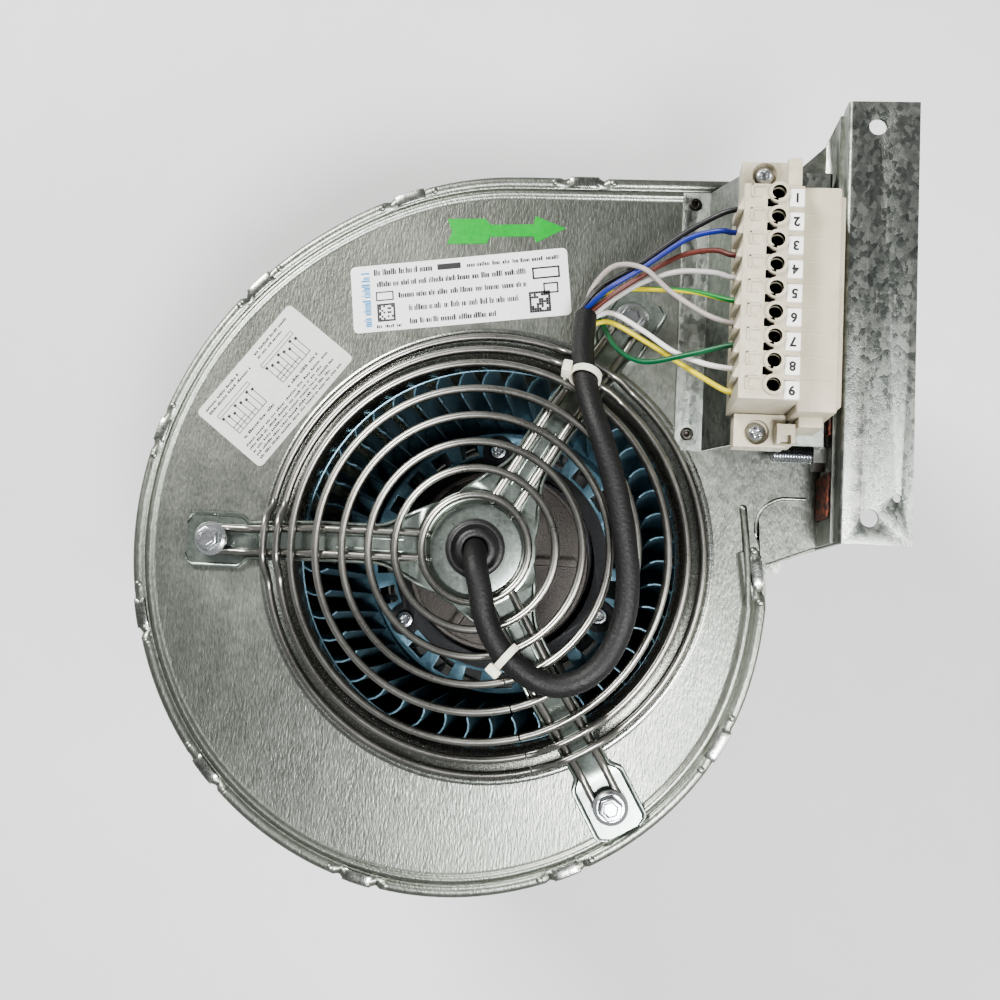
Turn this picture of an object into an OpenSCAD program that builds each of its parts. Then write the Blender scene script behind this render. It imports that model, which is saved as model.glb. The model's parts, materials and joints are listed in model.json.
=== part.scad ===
// Double-inlet centrifugal blower: scroll housing, external-rotor motor, bladed wheel.
// It stands on the rear rail and the rear guard; the wheel axis runs along z.
// Every module is drawn about the wheel axis, with z = 0 on the front side plate's face.

/* [Housing] */
// Distance between the outer faces of the two side plates
housing_w = 220; // [180:1:240]
// Thickness of the galvanised sheet
sheet_t = 1; // [0.8:0.1:1.5]
// Height of the straight top wall above the wheel axis
top_y = 152.6; // [145:0.1:165]
// Distance from the wheel axis to the outlet flange's back face
flange_x = 128; // [120:0.5:140]
// Radius of the tongue's nose
tongue_r = 12; // [8:0.5:16]
// Radius of the inlet's throat
throat_r = 76; // [70:0.5:80]
// Radius of the inlet's rolled lip
lip_r = 88; // [84:0.5:92]

/* [Mounting rails] */
// Distance the rails stand out beyond the side plates
rail_out = 32.5; // [28:0.5:40]
// Length of a rail
rail_len = 163; // [150:1:180]
// Distance between a rail's two bolt holes
rail_hole_pitch = 144; // [120:1:150]
// Radius of a rail's bolt hole
rail_hole_r = 3.2; // [2:0.1:5]

/* [Wheel] */
// Outer radius of the wheel
wheel_r = 80; // [70:0.5:85]
// Inner radius of the blade ring
blade_in_r = 66; // [60:0.5:70]
// Number of blades in each row
blade_count = 46; // [30:1:60]
// Thickness of a blade
blade_t = 0.8; // [0.5:0.1:1.2]

/* [Guard] */
// Diameter of the guard wire
wire_d = 3; // [2:0.1:4]
// Distance between the two legs of a spoke
spoke_gap = 9.3; // [8:0.1:12]
// Distance from the wheel axis to the fixing bolts
bolt_circle_r = 108; // [100:0.5:112]

/* [Terminal strip] */
// Distance from one pole to the next
pole_pitch = 8.3; // [7:0.1:10]
// Number of poles
pole_count = 9; // [6:1:12]
// Diameter of one insulated conductor
conductor_d = 2; // [1.6:0.1:3]
// Diameter of the motor lead's sleeve
lead_d = 9; // [7:0.1:11]

/* [Hidden] */

$fn = 64;
eps = 0.01;

// Height levels
front_z = housing_w + rail_out;
mid_z = -housing_w / 2;
cheek_in = -2 * sheet_t;

// Rail and axis positions
rail_wall_x = flange_x + 1.5;
rail_t = 1.5;
rail_end_x = 155;
rail_hole_x = 140;
rail_y = 8;
rail_mid_y = rail_y + rail_len / 2;
frame_bolt_y = [41.5, 137.5];
frame_bolt_z = 12;
frame_bolt_r = 3;

// Scroll: radii at equal steps of angle, run clockwise from the tongue
scroll_start = -8;
scroll_step = -33;
scroll_r = [111, 119.2, 127.6, 135.8, 140.3, 141.4, 142.6, 146.3, 152.6];
tab_angles = [324, 288, 252, 221, 193, 162, 133, 105];
scroll_end = len(scroll_r) - 1;
scroll_arc = 0.1;
nose_x = 116.5;
nose_y = 15;
duct_low_y = nose_y + tongue_r;
corner_x = 109.2;
corner_y = 0.4;
wrapper_inset = 0.8;
bead_out = 5.2;
bead_in = 8;
bead_h = 1.1;

// Spider and guard
arm_angles = [60, 180, 300];
arm_w = 15;
arm_t = 1.5;
hub_z = 24.9;
hub_flat = 22;
arm_bend_r = 58;
arm_foot_r = 93;
arm_end_r = 119;
foot_w = 22;
foot_top = 2;
inner_rings = [19.7, 29.6, 39.4, 49.3, 59.2];
outer_rings = [70.7, 77.7, 84.4];
spoke_lift = hub_z + arm_t + wire_d / 2;
spoke_foot_z = foot_top + wire_d / 2 + 0.05;
spoke_in_r = 18.5;
wire_bend_r = 6;
wire_gap = 0.03;
under_r = wire_bend_r - wire_d / 2;
arm_slope = atan((spoke_lift - spoke_foot_z) / (arm_foot_r - arm_bend_r));
bend_start_r = arm_bend_r - wire_bend_r * tan(arm_slope / 2);
bend_end_r = bend_start_r + under_r * sin(arm_slope);
bend_drop = under_r * (1 - cos(arm_slope)) + wire_gap;
slope_end_r = arm_bend_r - 2 * wire_gap
  + (spoke_lift - foot_top - wire_d / 2 / cos(arm_slope)) / tan(arm_slope);
ring_lift = wire_d + wire_gap;
edge_w = 1.3;

// Terminal area
strip_top = 62;
strip_x = 89.2;
tag_x = 104.2;
tag_w = 5.1;
strip_y = 53.2;
pole_x = 100.7;
pole_y = 58;
strip_end_y = pole_y + pole_pitch * (pole_count - 1) + 3;
entry_x = 93;
entry_up = 1.8;
clamp_x = 91.4;
clamp_w = 18.2;
platform_z = 24;
platform_x = 94;
bracket_x = 72.5;
bracket_bend_x = 83;
bracket_y = 43.6;
bracket_top_y = 146.8;
bracket_t = 1.5;
rivet_x = 77.2;
rivet_y = [50, 142];
end_screw_x = 99.5;
end_screw_y = [46.4, 141.8];

// Motor
rotor_flange_z = -85;
stator_face_z = -68;
can_r = 46;
can_end_z = -165;
shaft_r = 6;
shaft_gap = 0.05;

module at_axis() {
  translate([-rail_hole_x, -rail_mid_y, front_z]) children();
}

module to_rear() {
  translate([0, 0, 2 * mid_z]) mirror([0, 0, 1]) children();
}

module around(angles) {
  for (a = angles) rotate([0, 0, a]) children();
}

module rod(a, b, d) {
  v = b - a;
  len_v = norm(v);
  translate(a) rotate([0, acos(v[2] / len_v), atan2(v[1], v[0])]) cylinder(h = len_v, d = d);
}

module ring(r_out, r_in, z0, z1) {
  translate([0, 0, z0]) difference() {
    cylinder(h = z1 - z0, r = r_out, $fn = 128);
    translate([0, 0, -1]) cylinder(h = z1 - z0 + 2, r = r_in, $fn = 128);
  }
}

// Smooth curve through a list, at position t counted in list steps
function pick(v, i) = v[max(0, min(len(v) - 1, i))];
function blend(a, b, c, d, f) =
  b + 0.5 * f * (c - a + f * (2 * a - 5 * b + 4 * c - d + f * (3 * (b - c) + d - a)));
function curve(v, t) =
  let (i = floor(t))
  blend(pick(v, i - 1), pick(v, i), pick(v, i + 1), pick(v, i + 2), t - i);
function polar(r, a) = [r * cos(a), r * sin(a)];
function scroll_angle(t) = scroll_start + scroll_step * t;
function scroll_line(inset) =
  [for (t = [0 : scroll_arc : scroll_end + eps]) polar(curve(scroll_r, t) - inset, scroll_angle(t))];
function reversed(v) = [for (i = [len(v) - 1 : -1 : 0]) v[i]];
function nose_line(r, a0, a1) = [for (a = [a0 : -10 : a1]) [nose_x, nose_y] + polar(r, a)];

// ---------- housing ----------

module scroll_outline() {
  polygon(concat(
    scroll_line(0),
    [[flange_x - 4.5, top_y], [flange_x - 4.5, duct_low_y]],
    reversed(nose_line(tongue_r, 190, 90)),
    [[corner_x - 2.5, 6]]
  ));
}

module rim_bead() {
  difference() {
    linear_extrude(bead_h) polygon(concat(
      scroll_line(bead_out),
      [[60, top_y - bead_out], [60, top_y - bead_in]],
      reversed(scroll_line(bead_in))
    ));
    // the bead stops short of the lower foot
    rotate([0, 0, arm_angles[2]]) translate([arm_foot_r, -foot_w / 2 - 0.5, -1])
      cube([arm_end_r + 0.5 - arm_foot_r, foot_w + 1, 5]);
  }
  // the bead's short run past the tongue
  rod([104, -14, 0], [100, 21, 0], 2.4);
  translate([100, 21, 0]) sphere(d = 2.4);
}

module side_plate_body() {
  difference() {
    union() {
      translate([0, 0, -sheet_t]) linear_extrude(sheet_t) scroll_outline();
      rim_bead();
    }
    translate([0, 0, -5]) cylinder(h = 10, r = lip_r + 1, $fn = 128);
    around(arm_angles) translate([bolt_circle_r, 0, -5]) cylinder(h = 10, r = 3.3);
    translate([0, 0, -sheet_t - 5]) cylinder(h = 5, r = 160);
  }
}

module front_side_plate() {
  color([0.62, 0.66, 0.66]) side_plate_body();
}

module rear_side_plate() {
  color([0.62, 0.66, 0.66]) to_rear() side_plate_body();
}

module wrapper_outline() {
  polygon(concat(
    scroll_line(wrapper_inset),
    [[flange_x, top_y - wrapper_inset], [flange_x, top_y - wrapper_inset - sheet_t]],
    reversed(scroll_line(wrapper_inset + sheet_t))
  ));
}

module scroll_wrapper() {
  color([0.6, 0.64, 0.65]) difference() {
    translate([0, 0, -housing_w + sheet_t]) linear_extrude(housing_w - 2 * sheet_t) wrapper_outline();
    translate([corner_x - 12, top_y - 10, cheek_in]) cube([40, 20, 10]);
    translate([corner_x - 12, top_y - 10, -housing_w - 10 + 2 * sheet_t]) cube([40, 20, 10]);
  }
}

module rim_tab(tab_l) {
  translate([-tab_l / 2, -0.7, 0.02]) cube([tab_l, 5.3, 0.8]);
  translate([-tab_l / 2, -0.7, -9]) cube([tab_l, 0.6, 9.5]);
}

module rim_tab_set() {
  tab_l = 14;
  for (a = tab_angles) {
    t = (360 - a + scroll_start) / -scroll_step;
    p = polar(curve(scroll_r, t), a);
    v = polar(curve(scroll_r, t - 0.05), scroll_angle(t - 0.05)) - p;
    translate([p[0], p[1], 0]) rotate([0, 0, atan2(v[1], v[0])]) rim_tab(tab_l);
  }
  translate([33, top_y, 0]) mirror([0, 1, 0]) rim_tab(tab_l);
  translate([106.6, -1, 0.02]) rotate([0, 0, 100]) translate([0, -2.6, 0]) cube([tab_l, 4.6, 0.8]);
}

module rim_tabs_front() {
  color([0.66, 0.69, 0.69]) rim_tab_set();
}

module rim_tabs_rear() {
  color([0.66, 0.69, 0.69]) to_rear() rim_tab_set();
}

module inlet_ring_body() {
  bell = lip_r - throat_r;
  rotate_extrude($fn = 128) {
    translate([lip_r, -bell]) difference() {
      circle(r = bell, $fn = 64);
      circle(r = bell - sheet_t, $fn = 64);
      translate([0, -2 * bell]) square([2 * bell, 4 * bell]);
      translate([-2 * bell, -2 * bell]) square([4 * bell, 2 * bell]);
    }
    translate([throat_r, -bell - 3]) square([sheet_t, 3.02]);
    translate([lip_r - 0.02, -sheet_t]) square([1, sheet_t]);
    translate([lip_r - 0.2, 0]) circle(r = 1, $fn = 24);
  }
}

module front_inlet_ring() {
  color([0.55, 0.6, 0.62]) inlet_ring_body();
}

module rear_inlet_ring() {
  color([0.55, 0.6, 0.62]) to_rear() inlet_ring_body();
}

module cheek() {
  // side cheek under the plate: upper gusset, strip beside the flange, lower gusset
  translate([0, 0, cheek_in]) linear_extrude(sheet_t) difference() {
    polygon([
      [corner_x + 0.7, -15], [corner_x + 0.2, corner_y + 0.8], [flange_x, 8.6], [flange_x, 168],
      [112, top_y + 0.2], [112, top_y - 3], [flange_x - 12, top_y - 3], [flange_x - 12, 40],
      [corner_x - 3, 20], [corner_x - 2.4, 10], [corner_x - 0.8, -15]
    ]);
    translate([100, top_y - wrapper_inset - sheet_t - 0.1]) square([13, 2.2]);
  }
}

module outlet_flange() {
  flange_out = 25;
  flange_y = 8.6;
  flange_top = 168.6;
  color([0.66, 0.68, 0.68]) {
    difference() {
      translate([flange_x, flange_y, -housing_w - flange_out])
        cube([1.5, flange_top - flange_y, housing_w + 2 * flange_out]);
      translate([flange_x - 1, duct_low_y + 1, -housing_w + 2 * sheet_t])
        cube([4, top_y - duct_low_y - 3, housing_w - 4 * sheet_t]);
      for (y = frame_bolt_y) {
        for (z = [frame_bolt_z, -housing_w - frame_bolt_z]) {
          translate([flange_x - 1, y, z]) rotate([0, 90, 0]) cylinder(h = 4, r = 3.2);
        }
      }
    }
    cheek();
    to_rear() cheek();
  }
}

module tongue_plate() {
  width = housing_w - 4 * sheet_t - 0.2;
  color([0.58, 0.62, 0.63]) translate([0, 0, mid_z - width / 2]) linear_extrude(width) {
    // rolled nose and the duct's lower wall
    polygon(concat(
      nose_line(tongue_r - 0.2, 200, 90),
      [[flange_x, duct_low_y - 0.2], [flange_x, duct_low_y - 1.2]],
      reversed(nose_line(tongue_r - 1.2, 200, 90))
    ));
    // wall between the nose and the scroll, and the plate that slopes up to the flange
    polygon([
      [105.4, 10.6], [corner_x - 1.6, -1], [corner_x - 1, -15.05], [corner_x, -15.05],
      [corner_x - 0.4, -0.4], [flange_x, 7.4], [flange_x, 8.6], [corner_x - 0.2, 1], [106.5, 10.6]
    ]);
  }
}

module flange_seal_strip() {
  color([0.36, 0.17, 0.12]) {
    translate([flange_x - 1, 18, 1.5]) cube([1, 16.5, 21]);
    translate([flange_x - 1, 48.5, 1.5]) cube([1, 82, 21]);
    to_rear() {
      translate([flange_x - 1, 18, 1.5]) cube([1, 16.5, 21]);
      translate([flange_x - 1, 48.5, 1.5]) cube([1, 82, 21]);
    }
  }
}

module rail_leg() {
  difference() {
    translate([rail_wall_x + rail_t, rail_y, rail_out - rail_t])
      cube([rail_end_x - rail_wall_x - rail_t, rail_len, rail_t]);
    for (s = [-1, 1]) {
      translate([rail_hole_x, rail_mid_y + s * rail_hole_pitch / 2, rail_out - 5])
        cylinder(h = 10, r = rail_hole_r);
    }
    translate([rail_end_x - 5.5, rail_y + 17, rail_out - 5]) cylinder(h = 10, r = 1.5);
  }
  // rolled bend between leg and wall
  translate([rail_wall_x + rail_t, rail_y, rail_out - rail_t]) rotate([-90, 0, 0])
    intersection() {
      cylinder(h = rail_len, r = rail_t);
      translate([-2 * rail_t, -2 * rail_t, 0]) cube([2 * rail_t + eps, 2 * rail_t + eps, rail_len]);
    }
}

module mounting_frame() {
  wall_top = rail_y + rail_len;
  drop = 9;
  color([0.62, 0.64, 0.64]) {
    difference() {
      translate([rail_wall_x, 0, 0]) rotate([90, 0, 90]) linear_extrude(rail_t) polygon([
        [rail_y, rail_out - rail_t], [wall_top, rail_out - rail_t], [wall_top, rail_out - 8],
        [wall_top - drop, 4], [wall_top - drop, -housing_w - 4],
        [wall_top, -housing_w - rail_out + 8], [wall_top, -housing_w - rail_out + rail_t],
        [rail_y, -housing_w - rail_out + rail_t]
      ]);
      translate([rail_wall_x - 1, duct_low_y + 1, -housing_w + 2 * sheet_t])
        cube([4, top_y - duct_low_y - 3, housing_w - 4 * sheet_t]);
      for (y = frame_bolt_y) {
        for (z = [frame_bolt_z, -housing_w - frame_bolt_z]) {
          translate([rail_wall_x - 1, y, z]) rotate([0, 90, 0]) cylinder(h = 4, r = 3.2);
        }
      }
    }
    rail_leg();
    to_rear() rail_leg();
  }
}

module at_frame_bolts() {
  for (y = frame_bolt_y) {
    for (z = [frame_bolt_z, -housing_w - frame_bolt_z]) {
      translate([0, y, z]) rotate([0, 90, 0]) children();
    }
  }
}

module frame_bolts() {
  color([0.7, 0.71, 0.72]) at_frame_bolts() {
    translate([0, 0, rail_wall_x + rail_t]) cylinder(h = 1.3, r = 6.6);
    translate([0, 0, rail_wall_x + rail_t + 1.3]) cylinder(h = 3.4, r = 5.6, $fn = 6);
    translate([0, 0, 108]) cylinder(h = rail_wall_x + rail_t - 108, r = frame_bolt_r - 0.1);
  }
}

module frame_nuts() {
  color([0.66, 0.67, 0.68]) at_frame_bolts() translate([0, 0, flange_x - 5]) difference() {
    cylinder(h = 5, r = 5.6, $fn = 6);
    translate([0, 0, -1]) cylinder(h = 7, r = frame_bolt_r);
  }
}

// ---------- motor carrier and guards ----------

module arm_section(w, y0, low, high) {
  // side view of the arm: level at the hub, sloping down, level again at the foot
  translate([0, y0 + w / 2, 0]) rotate([90, 0, 0]) linear_extrude(w) polygon([
    [12, hub_z + low], [bend_start_r, hub_z + low], [slope_end_r - 1, 0.1 + low], [arm_end_r, 0.1 + low],
    [arm_end_r, high - arm_t + foot_top], [slope_end_r, high - arm_t + foot_top],
    [bend_end_r, hub_z + high - bend_drop], [bend_start_r, hub_z + high], [12, hub_z + high]
  ]);
}

module spider_arm() {
  difference() {
    union() {
      arm_section(arm_w, 0, 0, arm_t);
      for (s = [-1, 1]) intersection() {
        arm_section(edge_w, s * (arm_w - edge_w) / 2, 0.6, arm_t + 1.4);
        translate([20, -foot_w, 0]) cube([arm_foot_r - 22, 2 * foot_w, 40]);
      }
      translate([arm_foot_r + 3, -foot_w / 2, 0]) cube([arm_end_r - arm_foot_r - 2.8, foot_w, foot_top - 0.1]);
      // webs that widen the arm into the hub
      translate([0, 0, hub_z + 0.1]) linear_extrude(arm_t - 0.2)
        polygon([[16, -17], [38, 1 - arm_w / 2], [38, arm_w / 2 - 1], [16, 17]]);
    }
    translate([bolt_circle_r, 0, -5]) cylinder(h = 20, r = 3.3);
  }
}

module motor_spider() {
  color([0.6, 0.66, 0.63]) difference() {
    union() {
      around(arm_angles) spider_arm();
      translate([0, 0, hub_z - 0.1]) rotate([0, 0, 30])
        cylinder(h = arm_t + 0.05, r = hub_flat / cos(30), $fn = 6);
      translate([0, 0, hub_z]) cylinder(h = arm_t + 1.2, r = 18);
    }
    translate([0, 0, hub_z - 5]) cylinder(h = 20, r = 9);
  }
}

module flange_bolt(seat_z, tip_z) {
  translate([0, 0, seat_z]) {
    cylinder(h = 1.5, r = 6.75);
    translate([0, 0, 1.5]) cylinder(h = 1.2, r1 = 6.2, r2 = 5.4);
    translate([0, 0, 1.5]) cylinder(h = 4.5, r = 5.6, $fn = 6);
  }
  translate([0, 0, tip_z]) cylinder(h = seat_z - tip_z, r = 2.9);
}

module at_bolts() {
  around(arm_angles) translate([bolt_circle_r, 0, 0]) children();
}

module spider_bolts() {
  color([0.8, 0.8, 0.8]) at_bolts() flange_bolt(foot_top + wire_d + 0.06, -12);
}

module rear_guard_bolts() {
  color([0.8, 0.8, 0.8]) to_rear() at_bolts() flange_bolt(wire_d + 0.06, -12);
}

module weld_nut() {
  translate([0, 0, -sheet_t - 5]) difference() {
    cylinder(h = 5, r = 6.4, $fn = 6);
    translate([0, 0, -1]) cylinder(h = 7, r = 3);
  }
}

module weld_nuts() {
  color([0.55, 0.55, 0.55]) {
    at_bolts() weld_nut();
    to_rear() at_bolts() weld_nut();
  }
}

function spoke_z(r, foot) =
  r < arm_bend_r ? spoke_lift
  : r > arm_foot_r ? foot
  : spoke_lift + (foot - spoke_lift) * (r - arm_bend_r) / (arm_foot_r - arm_bend_r);

module guard_rings(foot) {
  slope = atan((spoke_lift - foot) / (arm_foot_r - arm_bend_r));
  slope_lift = ring_lift / cos(slope) + 0.12;
  for (r = inner_rings) {
    translate([0, 0, spoke_lift + ring_lift]) rotate_extrude($fn = 96)
      translate([r, 0]) circle(d = wire_d, $fn = 24);
  }
  for (r = outer_rings) {
    translate([0, 0, spoke_z(r, foot) + slope_lift]) rotate_extrude($fn = 96)
      translate([r, 0]) circle(d = wire_d, $fn = 24);
  }
}

// A straight length of wire, a hair short of its neighbours at both ends
module wire_run(x1, z1, x2, z2, y) {
  tilt = atan2(z2 - z1, x2 - x1);
  long = norm([x2 - x1, z2 - z1]);
  translate([x1, y, z1]) rotate([0, 90 - tilt, 0]) translate([0, 0, wire_gap])
    cylinder(h = long - 2 * wire_gap, d = wire_d);
}

// A bend in the wire about a line along y
module wire_bend(x, y, z, from, turn) {
  translate([x, y, z]) rotate([90, 0, 0]) rotate([0, 0, from]) rotate_extrude(angle = turn)
    translate([wire_bend_r, 0]) circle(d = wire_d);
}

module hairpin(foot) {
  slope = atan((spoke_lift - foot) / (arm_foot_r - arm_bend_r));
  reach = wire_bend_r * tan(slope / 2);
  run = wire_bend_r * sin(slope);
  drop = wire_bend_r * (1 - cos(slope));
  x1 = arm_bend_r - reach;
  x2 = arm_foot_r + reach;
  for (s = [-1, 1]) {
    y = s * spoke_gap / 2;
    wire_run(spoke_in_r, spoke_lift, x1, spoke_lift, y);
    wire_bend(x1, y, spoke_lift - wire_bend_r, 90 - slope, slope);
    wire_run(x1 + run, spoke_lift - drop, x2 - run, foot + drop, y);
    wire_bend(x2, y, foot + wire_bend_r, 270 - slope, slope);
    wire_run(x2, foot, bolt_circle_r, foot, y);
  }
  translate([bolt_circle_r, 0, foot]) rotate([0, 0, -90]) rotate_extrude(angle = 180)
    translate([spoke_gap / 2, 0]) circle(d = wire_d);
}

module front_guard_rings() {
  color([0.72, 0.72, 0.69]) guard_rings(spoke_foot_z);
}

module front_guard_spokes() {
  color([0.72, 0.72, 0.69]) around(arm_angles) hairpin(spoke_foot_z);
}

module rear_guard_rings() {
  color([0.72, 0.72, 0.69]) to_rear() guard_rings(spoke_foot_z - foot_top);
}

module rear_guard_spokes() {
  color([0.72, 0.72, 0.69]) to_rear() around(arm_angles) hairpin(spoke_foot_z - foot_top);
}

// ---------- terminal bracket and strip ----------

module terminal_bracket() {
  drop_x = flange_x - 2;
  color([0.66, 0.67, 0.67]) difference() {
    translate([0, bracket_top_y, 0]) rotate([90, 0, 0]) linear_extrude(bracket_top_y - bracket_y) polygon([
      [bracket_x, 0], [bracket_bend_x + 0.6, 0], [platform_x + 0.6, platform_z - bracket_t],
      [drop_x - bracket_t, platform_z - bracket_t], [drop_x - bracket_t, 0], [drop_x, 0],
      [drop_x, platform_z - 1], [drop_x - 1, platform_z], [platform_x, platform_z],
      [bracket_bend_x, bracket_t], [bracket_x, bracket_t]
    ]);
    // relief over the inlet's lip
    translate([0, 0, -1]) cylinder(h = 2.1, r = lip_r + 1.1, $fn = 128);
    // openings that clear the frame's nuts
    for (y = frame_bolt_y) translate([drop_x - 5, y, frame_bolt_z]) rotate([0, 90, 0])
      cylinder(h = 10, r = 7);
    for (y = rivet_y) translate([rivet_x, y, -5]) cylinder(h = 10, r = 1.6);
    for (y = end_screw_y) translate([end_screw_x, y, 10]) cylinder(h = 30, r = 2.2);
  }
}

module bracket_rivets() {
  color([0.3, 0.26, 0.24]) for (y = rivet_y) translate([rivet_x, y, 0]) difference() {
    union() {
      translate([0, 0, bracket_t]) cylinder(h = 1, r1 = 2.6, r2 = 2);
      translate([0, 0, 0]) cylinder(h = bracket_t, r = 1.5);
    }
    translate([0, 0, 0.6]) cylinder(h = 5, r = 1);
  }
}

function pole(i) = pole_y + pole_pitch * i;

module entry_tooth() {
  polygon([[0.1, 5.5], [-2, 1.2], [-1.6, 0.6], [0.1, 0.6]]);
}

module terminal_strip() {
  base_z = platform_z + 3;
  tooth_z = 44;
  color([0.8, 0.76, 0.66]) difference() {
    union() {
      translate([strip_x, strip_y, base_z])
        cube([tag_x - strip_x, strip_end_y - strip_y, strip_top - base_z]);
      translate([tag_x - eps, strip_y, base_z])
        cube([tag_w + 0.2, strip_end_y - strip_y, strip_top - base_z - 1.5]);
      for (i = [0 : pole_count - 1]) {
        translate([pole_x, pole(i), strip_top - 5]) cylinder(h = 6, r = 3.3);
      }
      for (i = [0 : pole_count - 2]) {
        translate([strip_x, pole(i) + entry_up, tooth_z])
          linear_extrude(strip_top - 0.5 - tooth_z) entry_tooth();
      }
    }
    for (i = [0 : pole_count - 1]) {
      translate([pole_x, pole(i), strip_top - 16]) cylinder(h = 30, r = 2.4);
      translate([strip_x - 1, pole(i) + entry_up, platform_z + 16]) rotate([0, 90, 0])
        cylinder(h = 7, r = 2.6);
    }
    // test pockets between the poles
    for (i = [1 : pole_count - 1]) {
      translate([pole_x - 3.75, pole(i) - 5, strip_top - 8]) cube([3.5, 2.8, 20]);
    }
  }
}

module pole_screws() {
  color([0.5, 0.48, 0.44]) for (i = [0 : pole_count - 1]) {
    translate([pole_x, pole(i), strip_top - 16]) difference() {
      cylinder(h = 5, r = 2.2);
      translate([-3, -0.4, 4]) cube([6, 0.8, 3]);
    }
  }
}

module terminal_plug() {
  plug_x = tag_x + tag_w + 0.5;
  plug_end = 125.4;
  color([0.79, 0.76, 0.68]) difference() {
    union() {
      translate([plug_x, strip_y - 2.5, platform_z]) cube([plug_end - plug_x - 2, 79, 30]);
      translate([plug_end - 2 - eps, strip_y - 0.5, platform_z]) cube([2, 75, 28]);
      translate([strip_x + 2, strip_y + 1, platform_z])
        cube([plug_x - strip_x - 2 + eps, strip_end_y - strip_y - 2, 2.9]);
    }
    for (i = [0 : pole_count - 1]) {
      translate([plug_x - 1, pole(i) - 0.25, platform_z + 29.5]) cube([20, 0.5, 2]);
    }
  }
}

module number_tags() {
  color([0.93, 0.93, 0.92]) for (i = [0 : pole_count - 1]) {
    translate([tag_x + 0.1, pole(i) - 4.7, strip_top - 1.49]) cube([tag_w, 6.2, 1.6]);
  }
}

module clamp_body(y0, y1, screw_y) {
  difference() {
    translate([clamp_x, y0, platform_z]) cube([clamp_w, y1 - y0, 10]);
    translate([end_screw_x, screw_y, platform_z - 5]) cylinder(h = 30, r = 2.2);
    translate([end_screw_x, screw_y, platform_z + 7]) cylinder(h = 10, r = 4.5);
  }
}

module end_clamp_top() {
  color([0.8, 0.76, 0.66]) {
    clamp_body(strip_end_y + 0.3, 146.5, end_screw_y[1]);
    translate([tag_x, strip_end_y + 0.3, platform_z]) cube([4.6, 10.2, 35]);
  }
}

module end_clamp_bottom() {
  color([0.8, 0.76, 0.66]) {
    clamp_body(41.1, strip_y - 0.3, end_screw_y[0]);
    difference() {
      translate([105.6, 41.8, platform_z]) cube([6.4, 6.8, 17]);
      translate([107, 43, platform_z + 12]) rotate([25, 0, 0]) cube([3.6, 3.6, 20]);
    }
  }
}

module end_clamp_screws() {
  color([0.8, 0.8, 0.8]) for (y = end_screw_y) translate([end_screw_x, y, platform_z]) difference() {
    union() {
      translate([0, 0, 7]) cylinder(h = 2, r = 3.4);
      translate([0, 0, 9]) cylinder(h = 0.9, r1 = 3.4, r2 = 2.2);
      translate([0, 0, -6]) cylinder(h = 13.1, r = 1.9);
    }
    for (a = [0, 90]) rotate([0, 0, a]) translate([-1.7, -0.45, 8]) cube([3.4, 0.9, 4]);
  }
}

// ---------- motor lead ----------

module cable_grommet() {
  color([0.07, 0.07, 0.07]) translate([0, 0, hub_z - 1]) difference() {
    union() {
      translate([0, 0, arm_t + 2.2]) cylinder(h = 2.2, r1 = 11, r2 = 9.6);
      cylinder(h = arm_t + 2.3, r = 8.9);
      translate([0, 0, -2]) cylinder(h = 2, r = 10.6);
    }
    translate([0, 0, -5]) cylinder(h = 20, r = lead_d / 2 + 0.1);
  }
}

// A cord is one closed skin of rings swept along its route
function unit(v) = v / norm(v);
function tangent(p, i) = unit(pick(p, i + 1) - pick(p, i - 1));
function flatten(n, t) = unit(n - (n * t) * t);
function sides(p, n0) =
  [for (i = 0, n = flatten(n0, tangent(p, 0)); i < len(p); i = i + 1, n = flatten(n, tangent(p, min(i, len(p) - 1)))) n];
function cord_skin(p, n, r, k) =
  [for (i = [0 : len(p) - 1]) for (j = [0 : k - 1])
    let (m = cross(tangent(p, i), n[i]), a = 360 * j / k)
    p[i] + r * (cos(a) * n[i] + sin(a) * m)];
function cord_faces(rings, k) = concat(
  [for (i = [0 : rings - 2]) for (j = [0 : k - 1])
    [i * k + j, (i + 1) * k + j, (i + 1) * k + (j + 1) % k, i * k + (j + 1) % k]],
  [[for (j = [0 : k - 1]) j]],
  [[for (j = [k - 1 : -1 : 0]) (rings - 1) * k + j]]
);

module cord(p, d, k, n0) {
  polyhedron(points = cord_skin(p, sides(p, n0), d / 2, k), faces = cord_faces(len(p), k));
}

lead_route = [
  [0, 0, 10], [0, 0, 24], [0.3, -1.5, 31], [1.4, -6.5, 36.6], [3.4, -14, 38.2], [6, -25, 38.3],
  [12, -36, 38.3], [22, -44.2, 38.3], [32, -47.4, 38.3], [42, -44.4, 38.3], [50, -36, 38.3],
  [55, -23, 38.3], [56, -10, 38.3], [54.5, 3, 38.3], [51, 20, 38.3], [46, 37, 38],
  [41, 51, 35.4], [37.5, 64, 29.7], [35.8, 77, 22.5], [36.2, 92, 14.5]
];

bundle = [36.3, 92.9, 14];
bundle_r = 3.3;

function strand(i) = bundle + bundle_r * (cos(45 * i) * [1, 0, 0] + sin(45 * i) * [0, 0.44, 0.9]);
function entry(i) = [entry_x, pole(pole_count - i) + entry_up, platform_z + 16];

module strand_cord(start, mid, i) {
  cord(concat([start], mid, [entry(i) - [5, 0, 0.8], entry(i)]), conductor_d, 8, [0, 0, 1]);
}

module motor_lead() {
  color([0.08, 0.08, 0.08]) cord(lead_route, lead_d, 12, [1, 0, 0]);
}

module lead_1_black() {
  color([0.06, 0.06, 0.06])
    strand_cord(strand(3), [[40.6, 102, 17.6], [54, 109, 24], [70, 119, 31], [82, 124.5, 37]], 1);
}

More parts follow.
